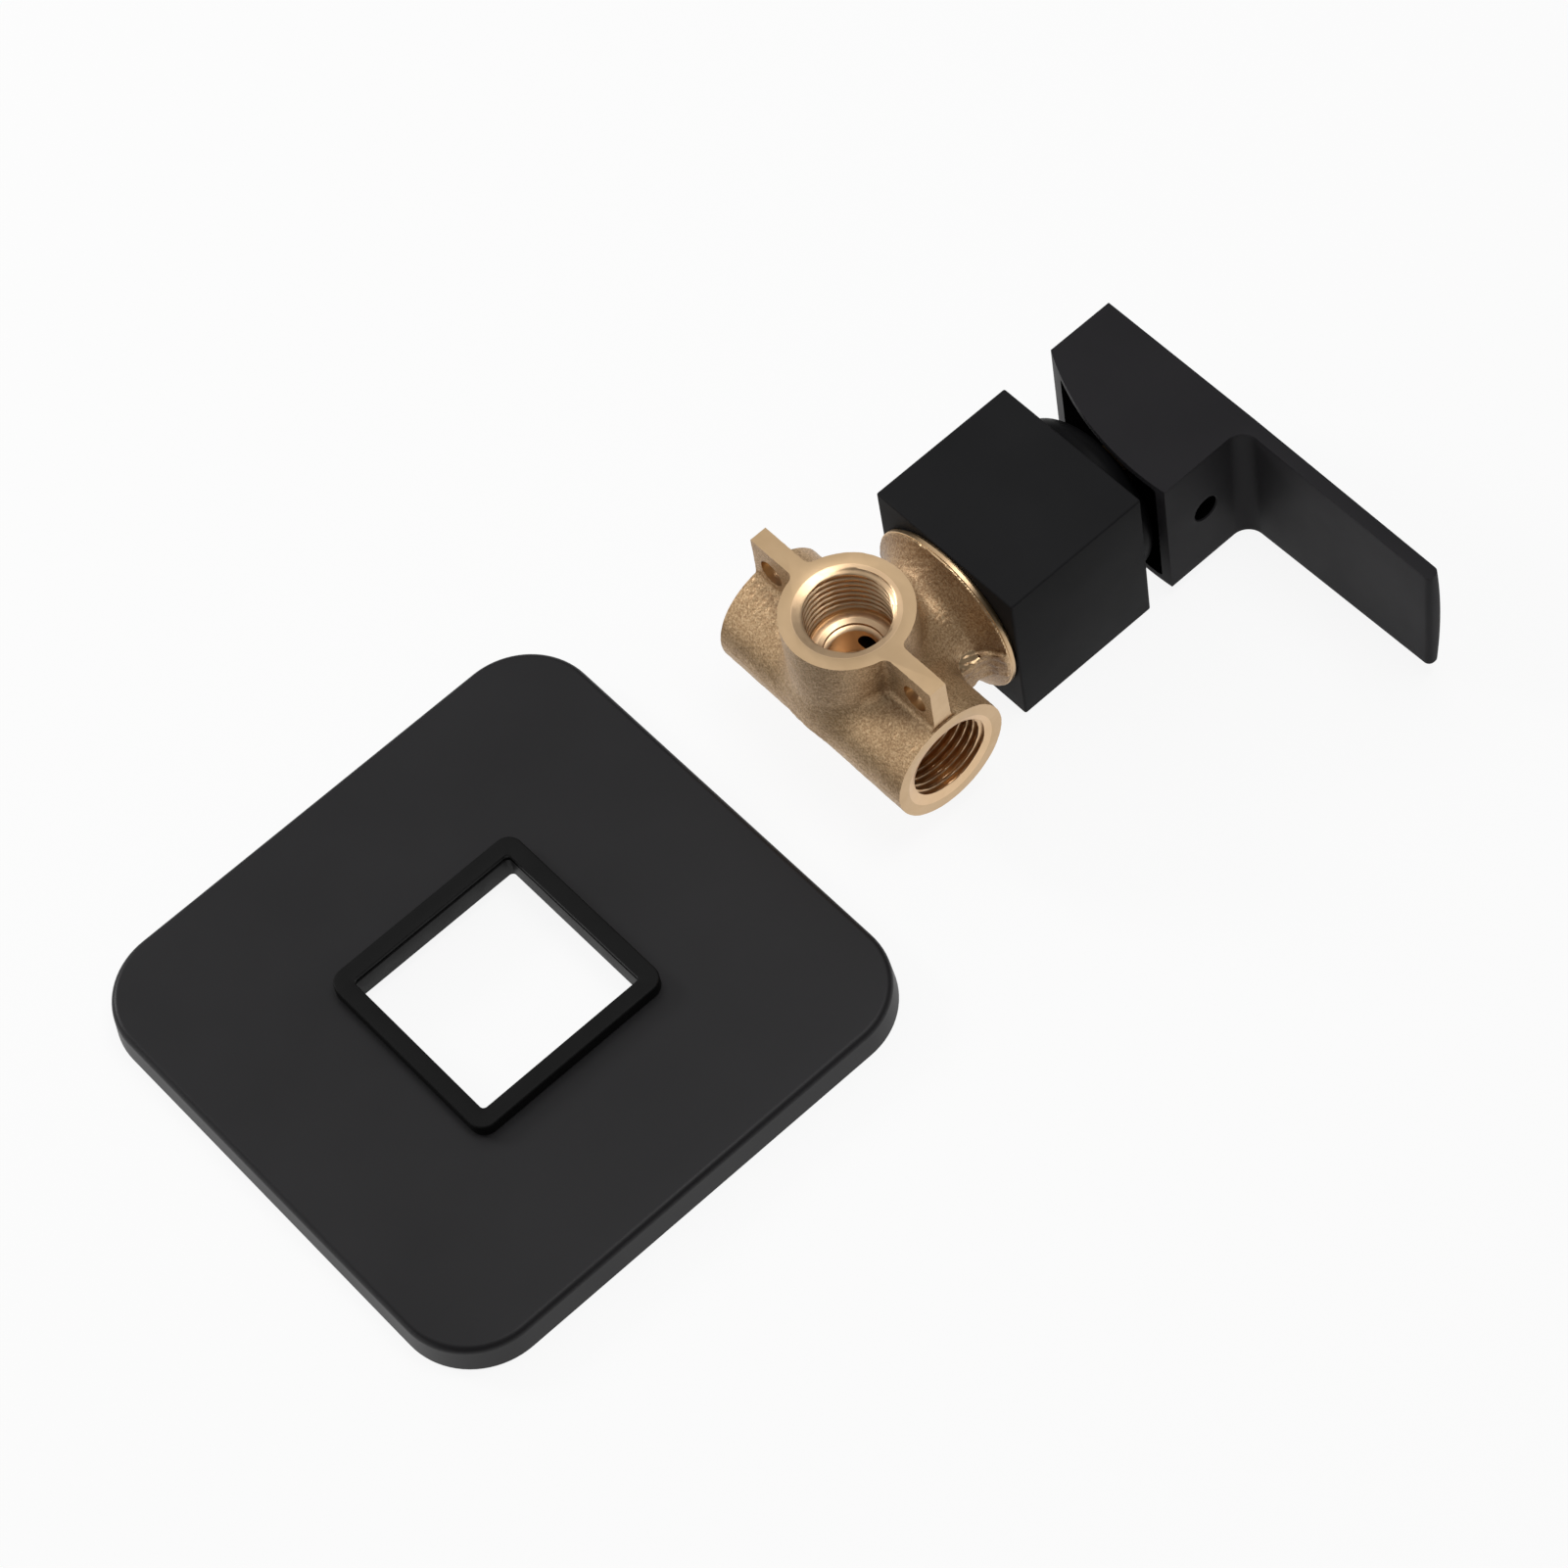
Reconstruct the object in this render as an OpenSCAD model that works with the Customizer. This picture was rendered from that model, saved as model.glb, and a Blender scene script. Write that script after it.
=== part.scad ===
// Concealed single-lever shower valve with its square trim: brass valve, cartridge,
// square sleeve, lever handle and the cover plate with its rubber collar.
// Millimetres. The valve lies on the flat side of its sleeve with the cartridge axis
// along Y, the handle at +Y, the inlets along X and the outlet up, along Z.
// The cover plate lies on its rim beside it. The origin is the centre of the
// whole kit's box, on the surface that it lies on.

/* [Brass body] */
// Outer diameter of the tube with the two inlets
tube_d = 28.4; // [27:0.2:32]
// Length of the tube, from one inlet face to the other
tube_len = 55.4; // [52:0.2:70]
// Outer diameter of the outlet boss
boss_d = 28.5; // [27:0.1:34]
// Height of the outlet face above the cartridge axis
outlet_h = 26.7; // [25:0.1:36]
// Distance of the tube axis behind the rear face of the sleeve
tube_back = 26; // [25:0.5:36]
// Diameter of the ports, at the roots of the pipe thread
port_d = 20.96; // [18:0.02:21.5]
// Length of the thread in each inlet
inlet_depth = 13; // [10:0.5:14]
// Length of the thread in the outlet
outlet_depth = 14; // [10:0.5:16]
// Diameter of the plain bore behind each thread
relief_d = 18.6; // [14:0.1:18.6]
// Width of the countersink at the mouth of each port
mouth_d = 23; // [21.6:0.1:24.6]
// Diameter of the neck between the tube and the flange
neck_d = 29; // [28:0.1:34]
// Thickness of the flange's rim
flange_t = 1; // [0.8:0.1:2]
// Thickness of the two mounting ears
ear_t = 4.2; // [3:0.1:7]
// Distance between the screw holes in the ears
ear_pitch = 43.6; // [42:0.2:45]
// Diameter of the screw holes in the ears
ear_hole_d = 6.4; // [4:0.1:6.8]
// Height of the screw holes above the cartridge axis
ear_hole_h = 19.8; // [19:0.1:20.6]
// How far the ears stand back from the tube's ends
ear_inset = 0.5; // [0.1:0.1:1]
// Width of the casting gate's stub beside the neck
gate_w = 7.5; // [2:0.5:9]
// How far the stub stands out from the neck
gate_out = 1.8; // [1:0.1:3.4]

/* [Cartridge] */
// Outer diameter of the cartridge housing
cart_d = 35; // [33:0.1:35.1]
// Thickness of the housing's wall
cart_wall = 1.2; // [0.8:0.1:1.6]
// Thickness of the cartridge base
base_t = 5.2; // [4.6:0.1:6]
// Thickness of each ceramic disc
disc_t = 4; // [3:0.1:4.4]
// Thickness of the carrier that drives the moving disc
carrier_t = 3.6; // [3.2:0.1:3.8]
// Height of the turning guide above its flange
guide_neck_h = 9.4; // [8:0.1:10]
// Width of the square lever stem
stem_w = 8; // [6:0.1:8.4]
// Diameter of the pivot pin
pin_d = 3; // [2:0.1:3.6]
// Diameter of the ball at the stem's lower end
ball_d = 4.6; // [3.6:0.1:5]

/* [Sleeve and dome] */
// Width and height of the square sleeve
sleeve_w = 41; // [41:0.5:50]
// Length of the sleeve
sleeve_len = 36.6; // [36.6:0.1:40]
// Thinnest wall of the sleeve, at the middle of each side
sleeve_wall = 1; // [0.8:0.1:1]
// Thickness of the lip at the sleeve's front
sleeve_lip = 2; // [1:0.1:3]
// How far the round dome stands in from the sleeve's sides
dome_inset = 1.3; // [1.2:0.1:2.4]
// Height of the dome's curved part
dome_rise = 7.5; // [5:0.1:7.5]
// Diameter of the opening in the dome's crown
crown_d = 30; // [29.4:0.1:31]

/* [Handle] */
// Height of the handle block
block_h = 35.5; // [35.5:0.1:46]
// Block's reach past the axis on the side away from the lever
block_back = 22.1; // [20:0.1:28]
// Block's reach past the axis on the lever's side
block_front = 21.2; // [20:0.1:28]
// Height of the handle's front edges over the sleeve's front
handle_rise = 31.6; // [31:0.1:44]
// Depth of the block, from its front edges to the lowest point of its curved rear face
block_depth = 26.2; // [24.4:0.1:26.5]
// Reach of the lever's tip past the axis
lever_reach = 74.7; // [60:0.1:120]
// Thickness of the lever at its edges
lever_t = 3.2; // [2.6:0.1:5]
// Height of the lever at its tip
lever_tip_h = 32.6; // [24:0.1:35]
// How far the front face bulges between its upper and lower edge
crown_sag = 0.9; // [0.3:0.1:2]
// Radius of the hollow corner between block and lever
lever_fillet = 4.2; // [1:0.1:8]
// Radius of the curved rear face of the block
rear_arc_r = 73; // [60:1:120]
// Diameter of the access hole for the grub screw
access_d = 6.2; // [5.4:0.1:8]
// Diameter of the grub screw
grub_d = 5; // [3:0.5:5]
// Length of the grub screw
grub_len = 7; // [5:0.5:8]

/* [Cover plate] */
// Width and height of the cover plate
plate_w = 125; // [100:1:200]
// Radius of the plate's corners
plate_r = 17; // [6:0.5:28]
// Height of the plate's rim
plate_h = 7.5; // [6:0.1:14]
// Thickness of the pressed sheet
sheet_t = 1.2; // [0.8:0.1:1.4]
// Radius of the rounded edge between face and rim
shoulder_r = 1.6; // [1.5:0.1:5]
// How far the rim leans out at its foot
rim_lean = 0.5; // [0.1:0.1:1.5]
// Width of the collar's rubber wall, seen from the front
collar_wall = 4; // [2.6:0.1:5]
// Height of the collar above the plate's face
collar_rise = 3.3; // [2.6:0.1:5]
// Depth of the collar behind the plate's face
collar_depth = 4.8; // [3.4:0.1:5.8]
// Plate's centre, measured from the valve's axis along X
plate_x = -6; // [-60:1:60]
// Gap between the plate and the tube of the valve
plate_gap = 20.5; // [5:0.1:80]

/* [Hidden] */
$fn = 96;

// Clearances: seated parts, running parts, and the collar round the sleeve
seat_gap = 0.05;
run_gap = 0.1;
touch_gap = 0.01;
collar_gap = 0.5;
// Extra length with which every cutter passes through a face
over = 1;

// Colours
brass_cast = [0.62, 0.49, 0.33];
brass_bright = [0.80, 0.66, 0.42];
black_coat = [0.16, 0.16, 0.17];
black_rubber = [0.08, 0.08, 0.08];
grey_plastic = [0.55, 0.56, 0.58];
white_plastic = [0.90, 0.90, 0.88];
ceramic_white = [0.95, 0.94, 0.90];
ceramic_grey = [0.62, 0.64, 0.66];
steel = [0.72, 0.73, 0.75];
seal_rubber = [0.13, 0.13, 0.13];

// Brass body, measured from the rear face of the sleeve
tube_y = -tube_back;
ear_h = outlet_h;
flange_r = sleeve_w / 2 - 0.3;
flange_gap = 0.6;
flange_y = -flange_gap - flange_t;
flare_edge = 0.25;
flare_a0 = 25;
flare_a1 = 70;
flare_r = (flange_r - neck_d / 2) / (cos(flare_a0) - cos(flare_a1));
flare_axis_r = neck_d / 2 + flare_r * cos(flare_a0);
flare_axis_y = flange_y - flare_edge - flare_r * sin(flare_a1);
flare_y0 = flare_axis_y + flare_r * sin(flare_a0);
tube_front_y = tube_y + tube_d / 2;
ear_root = 3;
gate_root = 3;
gate_foot_t = 1;
gate_shoulder = 3.5;
gate_end_gap = 0.4;
gate_end_t = 1;
mouth_t = 0.3;
relief_len = 2;
outlet_relief_len = 0.5;
seat_bore_d = 12.4;
seat_bore_z = 3.2;
sleeve_bore_r = sleeve_w / 2 - sleeve_wall;
cup_r = sleeve_bore_r - 0.2;
chamber_r = cart_d / 2 + 0.15;
floor_y = 1;
waterway_d = 5.6;
waterway_turn_y = -3;
waterway_lap = 0.6;
inlet_void_x = tube_len / 2 - inlet_depth - relief_len / 2;
outlet_void_z = seat_bore_z + 5;
ring_d = 1.2;
ring_groove_w = 1.5;
ring_groove_y = 0.2;
ring_groove_r = sleeve_bore_r - ring_d;

// Cartridge, each piece stacked on the one below it
base_y0 = floor_y;
fixed_y0 = base_y0 + base_t;
moving_y0 = fixed_y0 + disc_t;
carrier_y0 = moving_y0 + disc_t;
guide_y0 = carrier_y0 + carrier_t + 0.2;
guide_flange_t = 3;
thrust_t = 0.6;
thrust_gap = 0.4;
thrust_y0 = guide_y0 + guide_flange_t + run_gap;
housing_top_y0 = thrust_y0 + thrust_t;
housing_top_t = 2.8;
housing_top_y = housing_top_y0 + housing_top_t;
housing_collar_h = 3;
housing_bore_r = cart_d / 2 - cart_wall;
housing_collar_r = 12.3;
guide_r = housing_bore_r - run_gap;
guide_neck_r = 10;
guide_top_y = guide_y0 + guide_flange_t + guide_neck_h;
pin_y = guide_y0 + guide_flange_t + 3.4;
disc_r = 14.4;
disc_notch_r = 2;
disc_notch_out = 0.6;
disc_port_r = 2.9;
port_x = 4.6;
port_z = 6.5;
port_back_x = -6;
moving_r = 12.2;
mixing_pocket_t = 2.4;
mixing_pocket_r = 4.9;
mixing_lobe_r = 4;
mixing_lobe_x = -5.5;
carrier_r = 11.8;
peg_z = 9;
peg_r = 1.25;
peg_h = 1.2;
peg_play = 0.05;
peg_hole_extra = 0.2;
rail_x = 8;
rail_w = 2;
rail_h = 1.4;
rail_back = 2;
rail_slot_back = 2.6;
rail_gap = 0.3;
stem_slot_gap = 0.2;
pin_inset = 0.6;
pin_play = 0.06;
slot_back = 7.8;
slot_front = 5.9;
stem_arm_d = 4;
ball_clear = 0.3;
ball_y = carrier_y0 + ball_d / 2 + ball_clear;
ball_gap = 0.45;
stem_y1 = pin_y + 3;
seal_wire = 1.2;
seal_r = disc_port_r + 0.8;
base_step = 1.2;
leg_r = 1.5;
leg_h = 1.6;
leg_hole_extra = 0.2;
leg_x = 11;
leg_z = 5.5;

// Retaining nut and dome
nut_y0 = housing_top_y;
cup_y = nut_y0 + 5;
nut_thread_r = chamber_r + 0.65;
nut_thread_y0 = nut_y0 - 0.4;
nut_bore_r = 12.6;
nut_collar_r = 14.5;
nut_t = 5.5;
nut_under_front = 0.6;
nut_y = sleeve_len - nut_under_front;
nut_notch_w = 4;
nut_notch_h = 2.4;
dome_r = sleeve_w / 2 - dome_inset;
dome_foot = 1.7;
dome_y = sleeve_len + dome_foot;
dome_wall = 1.2;
dome_skirt_r = nut_collar_r + 1.5;
skirt_gap = 1.5;
dome_skirt_y = nut_y0 + nut_t + skirt_gap;
dome_web_t = 1.2;
lip_hole_r = dome_skirt_r + 0.3;
sleeve_chamfer = 0.4;

// Handle, its depths measured back from the front edges
handle_y = sleeve_len + handle_rise;
arc_x = 13.5;
arc_low_y = handle_y - block_depth;
arc_y = arc_low_y + rear_arc_r;
ceiling_depth = 19.7;
grub_depth = 14.7;
stem_top_depth = 10.7;
socket_gap = 0.6;
ceiling_y = handle_y - ceiling_depth;
cavity_wall = 1.75;
cavity_end = 2.6;
cavity_back = 17;
stem_top_y = handle_y - stem_top_depth;
socket_y = stem_top_y + socket_gap;
grub_y = handle_y - grub_depth;
grub_socket_t = 3;
grub_socket_k = 0.29;
access_gap = 1;
lever_inner_y = handle_y - lever_t;
lever_tip_r = 1.4;
front_arc_r = (block_h * block_h / 4 + crown_sag * crown_sag) / (2 * crown_sag);

// Cover plate, measured from its own centre and foot
collar_open = sleeve_w + 2 * collar_gap;
collar_outer = collar_open + 2 * collar_wall;
collar_bite = 1;
collar_neck = collar_outer - 2 * collar_bite;
collar_corner_r = 3.6;
collar_inner_r = 1;
collar_back_step = 0.2;
collar_edge = 0.3;
collar_lip_t = 1;
collar_groove = 0.4;
collar_groove_w = 1;

// The kit's box and the origin at the middle of its foot
valve_z = sleeve_w / 2;
plate_y = tube_y - tube_d / 2 - plate_gap - plate_w / 2;
plate_half = plate_w / 2 + rim_lean;
kit_x0 = min(plate_x - plate_half, -tube_len / 2, -block_back);
kit_x1 = max(plate_x + plate_half, tube_len / 2, lever_reach);
kit_y0 = plate_y - plate_half;
kit_y1 = handle_y + crown_sag;
kit_cx = (kit_x0 + kit_x1) / 2;
kit_cy = (kit_y0 + kit_y1) / 2;

// Places its children on the valve's axis: X, Y and Z stay, Y starts at the sleeve
module on_valve() {
    translate([-kit_cx, -kit_cy, valve_z]) children();
}

// Places its children at the plate's centre, on the surface
module on_plate() {
    translate([plate_x - kit_cx, plate_y - kit_cy, 0]) children();
}

// Turns a shape made along Z so that it lies along Y, or along X
module along_y() {
    rotate([-90, 0, 0]) children();
}

module along_x() {
    rotate([0, 90, 0]) children();
}

// A round bar along Y between two places
module bar_y(y0, y1, r) {
    translate([0, y0, 0]) along_y() cylinder(r = r, h = y1 - y0);
}

// A ring along Y between two places
module ring_y(y0, y1, r_out, r_in) {
    difference() {
        bar_y(y0, y1, r_out);
        bar_y(y0 - over, y1 + over, r_in);
    }
}

// A square with round corners
module rounded_square(w, r) {
    union() {
        square([w, w - 2 * r], center = true);
        square([w - 2 * r, w], center = true);
        for (sx = [-1, 1], sy = [-1, 1])
            translate([sx * (w / 2 - r), sy * (w / 2 - r)]) circle(r);
    }
}

// A block along Y whose edges are all broken by the same small chamfer
module chamfered_block(w, len, c) {
    intersection() {
        translate([0, len / 2, 0]) cube([w, len, w], center = true);
        translate([0, len / 2, 0]) rotate([0, 45, 0])
            cube([(w - c) * sqrt(2), len + 2 * over, (w - c) * sqrt(2)], center = true);
        chamfer_wedge(w, len, c);
        rotate([0, 90, 0]) chamfer_wedge(w, len, c);
    }
}

// The outline of a block seen from above, with its four corners cut, as tall as the block
module chamfer_wedge(w, len, c) {
    translate([0, 0, -w / 2]) linear_extrude(w)
        polygon([[-w / 2 + c, 0], [w / 2 - c, 0], [w / 2, c], [w / 2, len - c],
            [w / 2 - c, len], [-w / 2 + c, len], [-w / 2, len - c], [-w / 2, c]]);
}

// Neck, trumpet flare, flange and cartridge cup, turned about the Y axis
module neck_and_cup() {
    along_y() rotate_extrude() difference() {
        union() {
            translate([0, tube_y]) square([neck_d / 2, flange_y - tube_y]);
            difference() {
                translate([0, flare_y0]) square([flange_r, flange_y - flare_y0]);
                translate([flare_axis_r, flare_axis_y]) circle(flare_r);
            }
            translate([0, flange_y - touch_gap]) square([flange_r, flange_t + touch_gap]);
            translate([0, flange_y]) square([cup_r, cup_y - flange_y]);
        }
        translate([ring_groove_r, ring_groove_y]) square([cup_r, ring_groove_w]);
    }
}

// A round bore from one point to another
module bore_between(a, b, r) {
    d = b - a;
    translate(a) rotate([0, acos(d[2] / norm(d)), atan2(d[1], d[0])]) cylinder(r = r, h = norm(d));
}

// Water way: a straight mouth in the cup's floor, then a slanted drilling to a point in a port
module waterway(x, z, end) {
    translate([x, waterway_turn_y, z]) along_y()
        cylinder(r = disc_port_r, h = floor_y - waterway_turn_y + over);
    bore_between([x, waterway_turn_y + waterway_lap, z], end, waterway_d / 2);
}

// Threaded port that runs down from its mouth at the origin: countersink, thread and relief
module port_bore(depth, relief) {
    translate([0, 0, -depth]) cylinder(r = port_d / 2, h = depth + over);
    translate([0, 0, -depth - relief]) cylinder(r = relief_d / 2, h = relief + over);
    translate([0, 0, -mouth_t])
        cylinder(r1 = port_d / 2, r2 = mouth_d - port_d / 2, h = 2 * mouth_t);
}

// Inlet bore on the +X side
module inlet_bore() {
    translate([tube_len / 2, tube_y, 0]) along_x() port_bore(inlet_depth, relief_len);
}

// Outlet bore with the narrower chamber below
module outlet_bore() {
    translate([0, tube_y, outlet_h]) port_bore(outlet_depth, outlet_relief_len);
    translate([0, tube_y, seat_bore_z])
        cylinder(r = seat_bore_d / 2, h = outlet_h - seat_bore_z - relief_len);
}

// One mounting ear on the +X side, flush with the outlet face, just short of the tube's end
module ear() {
    difference() {
        translate([boss_d / 2 - ear_root, tube_y - ear_t / 2, 0])
            cube([tube_len / 2 - ear_inset - boss_d / 2 + ear_root, ear_t, ear_h]);
        translate([ear_pitch / 2, tube_y, ear_hole_h]) along_y()
            cylinder(r = ear_hole_d / 2, h = ear_t + 2 * over, center = true);
    }
}

// Stub left by the casting gate on the +X side, a web from the tube along the neck to the flange
module gate_stub() {
    out_x = neck_d / 2 + gate_out;
    end_x = flange_r - gate_end_gap;
    translate([0, 0, -gate_w / 2]) linear_extrude(gate_w)
        polygon([[neck_d / 2 - gate_root, tube_front_y - gate_foot_t], [out_x, tube_front_y - gate_foot_t],
            [out_x, flange_y - gate_shoulder], [end_x, flange_y - gate_end_t],
            [end_x, flange_y + flange_t / 2], [neck_d / 2 - gate_root, flange_y + flange_t / 2]]);
}

// Brass casting with the inlets, the outlet, the ears and the cartridge cup
module valve_body() {
    color(brass_cast) on_valve() difference() {
        union() {
            translate([-tube_len / 2, tube_y, 0]) along_x() cylinder(r = tube_d / 2, h = tube_len);
            translate([0, tube_y, 0]) cylinder(r = boss_d / 2, h = outlet_h);
            neck_and_cup();
            ear();
            mirror([1, 0, 0]) ear();
            gate_stub();
        }
        inlet_bore();
        mirror([1, 0, 0]) inlet_bore();
        outlet_bore();
        waterway(port_x, port_z, [inlet_void_x, tube_y, 0]);
        waterway(port_x, -port_z, [-inlet_void_x, tube_y, 0]);
        waterway(port_back_x, 0, [0, tube_y, outlet_void_z]);
        bar_y(floor_y, cup_y + over, chamber_r);
        bar_y(nut_thread_y0, cup_y + over, nut_thread_r + seat_gap);
        for (s = [-1, 1]) translate([s * leg_x, floor_y - leg_h - leg_hole_extra, leg_z]) along_y()
            cylinder(r = leg_r + run_gap, h = leg_h + over);
    }
}

// Rubber ring that seals the sleeve's rear end
module sleeve_o_ring() {
    color(black_rubber) on_valve() translate([0, ring_groove_y + ring_groove_w / 2, 0]) along_y()
        rotate_extrude() translate([sleeve_bore_r - ring_d / 2, 0]) circle(ring_d / 2 - touch_gap, $fn = 32);
}

// The three water ways through base and fixed disc: where, and how wide
port_places = [[port_x, port_z], [port_x, -port_z], [port_back_x, 0]];

// Base of the cartridge, with its water ways, seal recesses and two locating legs
module cartridge_base() {
    color(grey_plastic) on_valve() difference() {
        union() {
            bar_y(base_y0, fixed_y0 - base_step, cart_d / 2 - run_gap);
            bar_y(base_y0, fixed_y0, housing_bore_r - run_gap);
            for (s = [-1, 1]) translate([s * leg_x, floor_y - leg_h, leg_z]) along_y()
                cylinder(r = leg_r, h = leg_h + over);
        }
        for (p = port_places) translate([p[0], base_y0 - over, p[1]]) along_y()
            cylinder(r = disc_port_r, h = base_t + 2 * over);
        for (p = port_places) translate([p[0], base_y0 - over, p[1]]) along_y()
            cylinder(r = seal_r + seal_wire / 2, h = seal_wire + over);
        for (p = port_places) translate([p[0], fixed_y0 - seal_wire, p[1]]) along_y()
            cylinder(r = seal_r + seal_wire / 2, h = seal_wire + over);
    }
}

// Rubber rings, one round each water way, that lie against a face at y0
module ring_set(y0) {
    for (p = port_places) translate([p[0], y0, p[1]]) along_y() difference() {
        cylinder(r = seal_r + seal_wire / 2 - 2 * touch_gap, h = seal_wire);
        translate([0, 0, -over]) cylinder(r = seal_r - seal_wire / 2, h = seal_wire + 2 * over);
    }
}

// Seals between the base and the floor of the brass cup
module port_seals() {
    color(seal_rubber) on_valve() ring_set(base_y0);
}

// Seals between the base and the fixed ceramic disc
module disc_seals() {
    color(seal_rubber) on_valve() ring_set(fixed_y0 - seal_wire);
}

// Ceramic disc that stands still, with the three water ways and two rim notches
module fixed_disc() {
    color(ceramic_white) on_valve() difference() {
        bar_y(fixed_y0, moving_y0, disc_r);
        for (p = port_places) translate([p[0], fixed_y0 - over, p[1]]) along_y()
            cylinder(r = disc_port_r, h = disc_t + 2 * over);
        for (s = [-1, 1]) translate([s * (disc_r + disc_notch_out), fixed_y0 - over, 0]) along_y()
            cylinder(r = disc_notch_r, h = disc_t + 2 * over);
    }
}

// Ceramic disc that slides and turns, with the mixing pocket in its underside
module moving_disc() {
    color(ceramic_grey) on_valve() difference() {
        bar_y(moving_y0, carrier_y0, moving_r);
        bar_y(moving_y0 - over, moving_y0 + mixing_pocket_t, mixing_pocket_r);
        translate([mixing_lobe_x, 0, 0]) bar_y(moving_y0 - over, moving_y0 + mixing_pocket_t, mixing_lobe_r);
        for (s = [-1, 1]) translate([0, carrier_y0 - peg_h - peg_hole_extra, s * peg_z]) along_y()
            cylinder(r = peg_r + peg_play, h = peg_h + peg_hole_extra + over);
    }
}

// Plastic carrier on the moving disc: two pegs below, two rails above, a socket for the ball
module disc_carrier() {
    color(white_plastic) on_valve() difference() {
        union() {
            bar_y(carrier_y0, carrier_y0 + carrier_t, carrier_r);
            for (s = [-1, 1]) translate([0, carrier_y0 - peg_h, s * peg_z]) along_y()
                cylinder(r = peg_r, h = peg_h + over);
            for (s = [-1, 1]) translate([-rail_x, carrier_y0 + carrier_t - over, s * peg_z - rail_w / 2])
                cube([2 * rail_x - rail_back, rail_h + over, rail_w]);
        }
        translate([0, carrier_y0 - 2 * over, 0]) along_y()
            cylinder(r = ball_d / 2 + ball_gap, h = carrier_t + 4 * over);
    }
}

// Guide that turns in the housing and carries the stem's pivot
module spindle_guide() {
    color(white_plastic) on_valve() difference() {
        union() {
            bar_y(guide_y0, guide_y0 + guide_flange_t, guide_r);
            bar_y(guide_y0, guide_top_y, guide_neck_r);
        }
        translate([-slot_back, guide_y0 - over, -stem_w / 2 - stem_slot_gap])
            cube([slot_back + slot_front, guide_top_y - guide_y0 + 2 * over, stem_w + 2 * stem_slot_gap]);
        for (s = [-1, 1]) translate([-rail_x - rail_gap, guide_y0 - over, s * peg_z - rail_w / 2 - rail_gap])
            cube([2 * rail_x + rail_slot_back, rail_h + over, rail_w + 2 * rail_gap]);
        translate([0, pin_y, 0]) cylinder(r = pin_d / 2 + touch_gap, h = 4 * guide_neck_r, center = true);
    }
}

// Steel pin through the guide on which the stem tilts
module pivot_pin() {
    color(steel) on_valve() translate([0, pin_y, 0])
        cylinder(r = pin_d / 2, h = 2 * (guide_neck_r - pin_inset), center = true);
}

// Lever stem: square above, pierced at the pivot, with an arm and a ball below
module lever_stem() {
    color(brass_bright) on_valve() difference() {
        union() {
            translate([-stem_w / 2, stem_y1, -stem_w / 2]) cube([stem_w, stem_top_y - stem_y1, stem_w]);
            translate([0, pin_y, 0]) cylinder(r = stem_w / 2, h = stem_w, center = true);
            translate([-stem_w / 2, pin_y, -stem_w / 2]) cube([stem_w, stem_y1 - pin_y + over, stem_w]);
            bar_y(ball_y, pin_y, stem_arm_d / 2);
            translate([0, ball_y, 0]) sphere(r = ball_d / 2);
        }
        translate([0, pin_y, 0]) cylinder(r = pin_d / 2 + pin_play, h = 2 * stem_w, center = true);
    }
}

// Slippery ring between the turning guide and the housing
module thrust_ring() {
    color(white_plastic) on_valve()
        ring_y(thrust_y0, thrust_y0 + thrust_t, housing_bore_r - thrust_gap, guide_neck_r + thrust_gap);
}

// Housing of the cartridge, clamped in the cup by the nut
module cartridge_housing() {
    color(grey_plastic) on_valve() difference() {
        union() {
            bar_y(fixed_y0 - base_step, housing_top_y, cart_d / 2);
            bar_y(housing_top_y - over, housing_top_y + housing_collar_h, housing_collar_r);
        }
        bar_y(fixed_y0 - base_step - over, housing_top_y0, housing_bore_r);
        bar_y(fixed_y0, housing_top_y + housing_collar_h + over, guide_neck_r + run_gap);
    }
}

// Brass nut that holds the cartridge down and carries the dome on its collar
module retaining_nut() {
    color(brass_bright) on_valve() difference() {
        union() {
            bar_y(nut_y0, nut_y0 + nut_t, nut_thread_r);
            bar_y(nut_y0, nut_y, nut_collar_r);
        }
        bar_y(nut_y0 - over, nut_y + over, nut_bore_r);
        for (a = [0, 90]) translate([0, nut_y - nut_notch_h / 2 + over / 2, 0]) rotate([0, a, 0])
            cube([3 * nut_collar_r, nut_notch_h + over, nut_notch_w], center = true);
    }
}

// Half an ellipse's upper right quarter, from a scaled circle: radius a, rise b
module dome_outline(a, b) {
    polygon(concat([[0, 0]], [for (t = [0 : 5 : 90]) [a * cos(t), b * sin(t)]]));
}

// Thin dome between sleeve and handle, screwed on the nut's collar, that holds the sleeve
module dome_cap() {
    color(black_coat) on_valve() along_y() rotate_extrude() difference() {
        union() {
            translate([0, sleeve_len]) square([dome_r, dome_foot]);
            translate([0, dome_y]) dome_outline(dome_r, dome_rise);
            translate([0, dome_skirt_y]) square([dome_skirt_r, sleeve_len - dome_skirt_y + over]);
        }
        translate([0, dome_skirt_y - over])
            square([nut_collar_r + seat_gap, sleeve_len - dome_skirt_y + dome_foot + dome_rise + 2 * over]);
        translate([0, sleeve_len + dome_web_t])
            square([dome_r - dome_wall, dome_foot - dome_web_t + touch_gap]);
        translate([0, dome_y]) dome_outline(dome_r - dome_wall, dome_rise - dome_wall);
        translate([0, sleeve_len + dome_web_t]) square([crown_d / 2, dome_rise + dome_foot]);
    }
}

// Square sleeve round the cartridge cup, open behind, with a lip in front
module square_sleeve() {
    color(black_coat) on_valve() difference() {
        chamfered_block(sleeve_w, sleeve_len, sleeve_chamfer);
        bar_y(-over, sleeve_len - sleeve_lip, sleeve_bore_r);
        bar_y(-over, sleeve_len + over, lip_hole_r);
    }
}

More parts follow.
